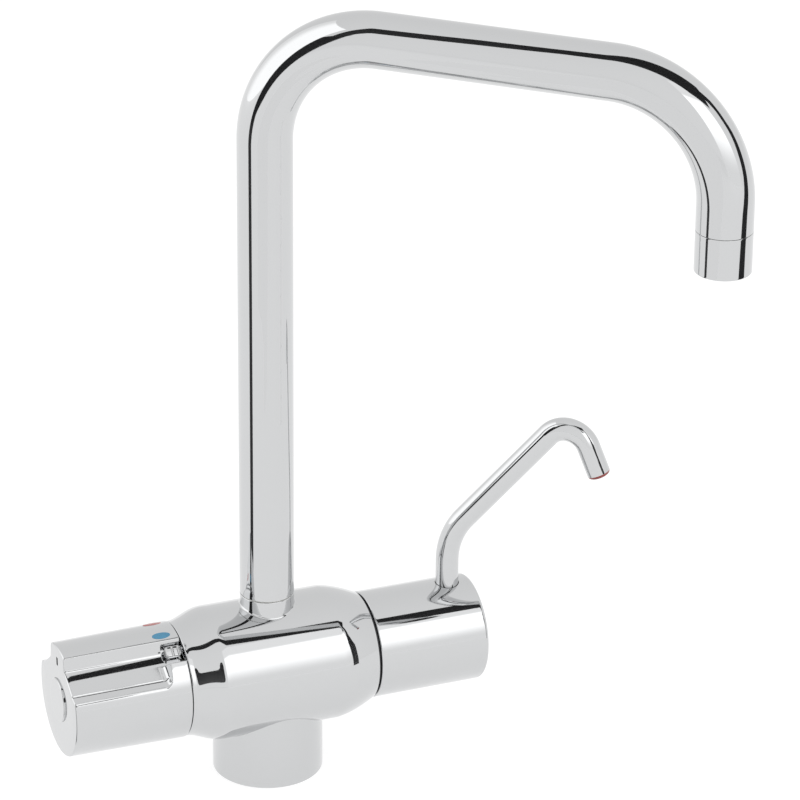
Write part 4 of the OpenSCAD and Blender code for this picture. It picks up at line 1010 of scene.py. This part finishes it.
cut_away(temperature_knob, notch, 50)
# Black on the notch's faces: painted shade for the dark of the recess.
notch_painted_shade = moulded_plastic("notch_painted_shade", (0.02, 0.02, 0.022), 0.45, 1500.0, 0.00001, 0.0)
temperature_knob.data.materials.append(notch_painted_shade)
for face in temperature_knob.data.polygons:
    spot = to_notch.inverted() @ face.center / mm
    if -0.6 < spot.z < -0.1 and abs(spot.x) < notch_size.x / 2 + 0.1 and abs(spot.y) < notch_size.y / 2 + 0.1:
        face.material_index = 1


def dress(packed, material):
    """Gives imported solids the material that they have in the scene."""
    for node in packed:
        for slot in frame["nodes"][node].material_slots:
            slot.material = material


cold_blue = moulded_plastic("cold_enamel", (0.08, 0.31, 0.50), 0.16, 1800.0, 0.000006, 0.08)
hot_red = moulded_plastic("hot_enamel", (0.45, 0.06, 0.05), 0.16, 1800.0, 0.000006, 0.08)
dress(("cold_mark",), cold_blue)
dress(("hot_mark",), hot_red)


# ---------------------------------------------------------------- Knob's end cap
# A small turned and plated disc, pressed into the knob's end over its screw. It stands
# a little proud and its edge is rounded.
cap_wall = 1.4
cap_plate = 1
cap_face = knob_end + 0.8
cap_outline = [(0, cap_face), (7.5, cap_face), (cap_r - edge - 0.4, cap_face)]
cap_outline += arc(cap_r - edge, cap_face - edge, edge, 90, 0, 8)
cap_outline += [(cap_r, knob_end - cap_depth), (cap_r - cap_wall, knob_end - cap_depth),
                (cap_r - cap_wall, knob_end - cap_plate), (0, knob_end - cap_plate)]
knob_cap = piece_from(turned(cap_outline, to_knob, steps=120), "knob_end_cap", knob_chrome)
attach(knob_cap, "temperature_control")
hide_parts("knob_cap")


# ---------------------------------------------------------------- Safety button
# A small button cast in zinc and plated, with two hollows across it that leave ribs for
# the thumb. Its stem slides in the knob, and a spring holds it out until it is pressed.
button_long = 7.6
button_wide = 4.9
button_corner = 1.5
button_round = 0.6
button_top = 23.8
button_base = 21.5
button_tall = button_top - button_base
button_centre = (button_top + button_base) / 2
stem_long = 2.8
stem_middle = button_base - 1.25
hollow_r = 0.7
hollow_deep = 0.45
hollow_long = 8
hollow_middles = (46.4, 49.1)
button_form = bmesh.new()
bmesh.ops.create_cube(button_form, size=1, matrix=Matrix.Diagonal((button_tall, button_wide, button_long, 1)))
corners = [e for e in button_form.edges if abs(e.verts[0].co.x - e.verts[1].co.x) > 1]
bmesh.ops.bevel(button_form, geom=corners, offset=button_corner, segments=10, profile=0.5, affect="EDGES")
top_rim = [e for e in button_form.edges if all(v.co.x > button_tall / 2 - 0.01 for v in e.verts)]
bmesh.ops.bevel(button_form, geom=top_rim, offset=button_round, segments=6, profile=0.5, affect="EDGES")
stem = bmesh.new()
bmesh.ops.create_cone(stem, cap_ends=True, segments=48, radius1=stem_r, radius2=stem_r, depth=stem_long,
                      matrix=Matrix.Translation((stem_middle - button_centre, 0, 0))
                      @ Matrix.Rotation(math.pi / 2, 4, "Y"))
button_form = joined(button_form, stem)
bmesh.ops.transform(button_form, verts=button_form.verts, matrix=(
    to_groove @ Matrix.Translation(Vector((button_centre, button_across, button_mid)) * mm)
    @ Matrix.Scale(mm, 4)))
bmesh.ops.recalc_face_normals(button_form, faces=button_form.faces)
safety_button = piece_from(button_form, "safety_button_cap", knob_chrome, 50)
for along in hollow_middles:
    hollow = bmesh.new()
    hollow_place = Vector((button_top - hollow_deep + hollow_r, button_across, along))
    bmesh.ops.create_cone(hollow, cap_ends=True, segments=64, radius1=hollow_r * mm, radius2=hollow_r * mm,
                          depth=hollow_long * mm, matrix=to_groove @ Matrix.Translation(hollow_place * mm)
                          @ Matrix.Rotation(math.pi / 2, 4, "X"))
    cut_away(safety_button, hollow, 50)
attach(safety_button, "stop_button")
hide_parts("safety_button")


# ---------------------------------------------------------------- Rubber seals
# O-rings, the pedestal's gasket and the disc's seat, moulded in black rubber with a
# slight bloom on the skin.
rubber = moulded_plastic("black_rubber", (0.028, 0.028, 0.032), 0.55, 3000.0, 0.00002, 0.25)
dress(("base_gasket", "cartridge_seals", "temperature_spindle_seal", "headwork_seals", "disc_seat_seal",
       "flow_spindle_seals", "small_spout_seals", "spout_seals", "aerator_washer"), rubber)


# ---------------------------------------------------------------- Gap ring and aerator insert
# A moulded ring of black plastic fills the gap between the body and the handle and keeps
# grit out of the turning joint. The aerator's insert is moulded in the same plastic.
black_plastic = moulded_plastic("black_plastic", (0.022, 0.022, 0.026), 0.4, 2200.0, 0.000012, 0.15)
dress(("gap_ring", "aerator_insert"), black_plastic)


# ---------------------------------------------------------------- Moulded inner parts
# The cartridge's sleeve and shuttle, the knob's carrier, the stop ring, the poppets, their
# housings and the glide rings are moulded in off-white acetal.
acetal = moulded_plastic("white_acetal", (0.80, 0.80, 0.76), 0.42, 1500.0, 0.00001, 0.03)
dress(("check_valve_housings", "cold_check_poppet", "hot_check_poppet", "cartridge_sleeve", "mixing_shuttle",
       "temperature_stop_ring", "knob_carrier", "spout_glide_rings"), acetal)


# ---------------------------------------------------------------- Ceramic discs
# Two discs of sintered alumina, lapped flat so that they seal on each other. The grey
# flecks are pores.
ceramic = moulded_plastic("lapped_ceramic", (0.88, 0.86, 0.80), 0.2, 5000.0, 0.000002, 0.04)
dress(("fixed_disc", "moving_disc"), ceramic)


# ---------------------------------------------------------------- Inner metal parts
# Turned brass for the cartridge's nut and screw, the headwork, the spindles and the block;
# stainless steel for springs, screws, clips and screens. Fine marks cover them.
def machined_metal(name, colour, shine, mark_scale):
    """Bare metal with fine tool marks and a slight change of colour where it has been handled."""
    metal = bpy.data.materials.new(name)
    metal.use_nodes = True
    metal.node_tree.nodes["Principled BSDF"].inputs["Metallic"].default_value = 1.0
    tinted(metal, noise_on(metal, 90.0, 5.0), (0.25, [c * 0.86 for c in colour]), (0.75, colour))
    marks = noise_on(metal, mark_scale, 3.0)
    roughened(metal, marks, 0.3, 0.7, shine, shine + 0.14)
    embossed(metal, marks, 0.5, 0.000008)
    return metal


brass = machined_metal("turned_brass", (0.78, 0.62, 0.33), 0.22, 900.0)
steel = machined_metal("stainless_steel", (0.62, 0.62, 0.64), 0.2, 1400.0)
dress(("cartridge_nut", "wax_element", "lift_screw", "temperature_spindle", "headwork_body", "flow_spindle",
       "outlet_block", "spout_tail"), brass)
dress(("cold_check_spring", "hot_check_spring", "port_screens", "return_spring", "knob_screw",
       "button_spring", "spindle_circlip", "barrel_set_screw", "small_spout_clip", "spout_lock_screw"), steel)


# ---------------------------------------------------------------- Last update
# The view layer is brought up to date.
bpy.context.view_layer.update()
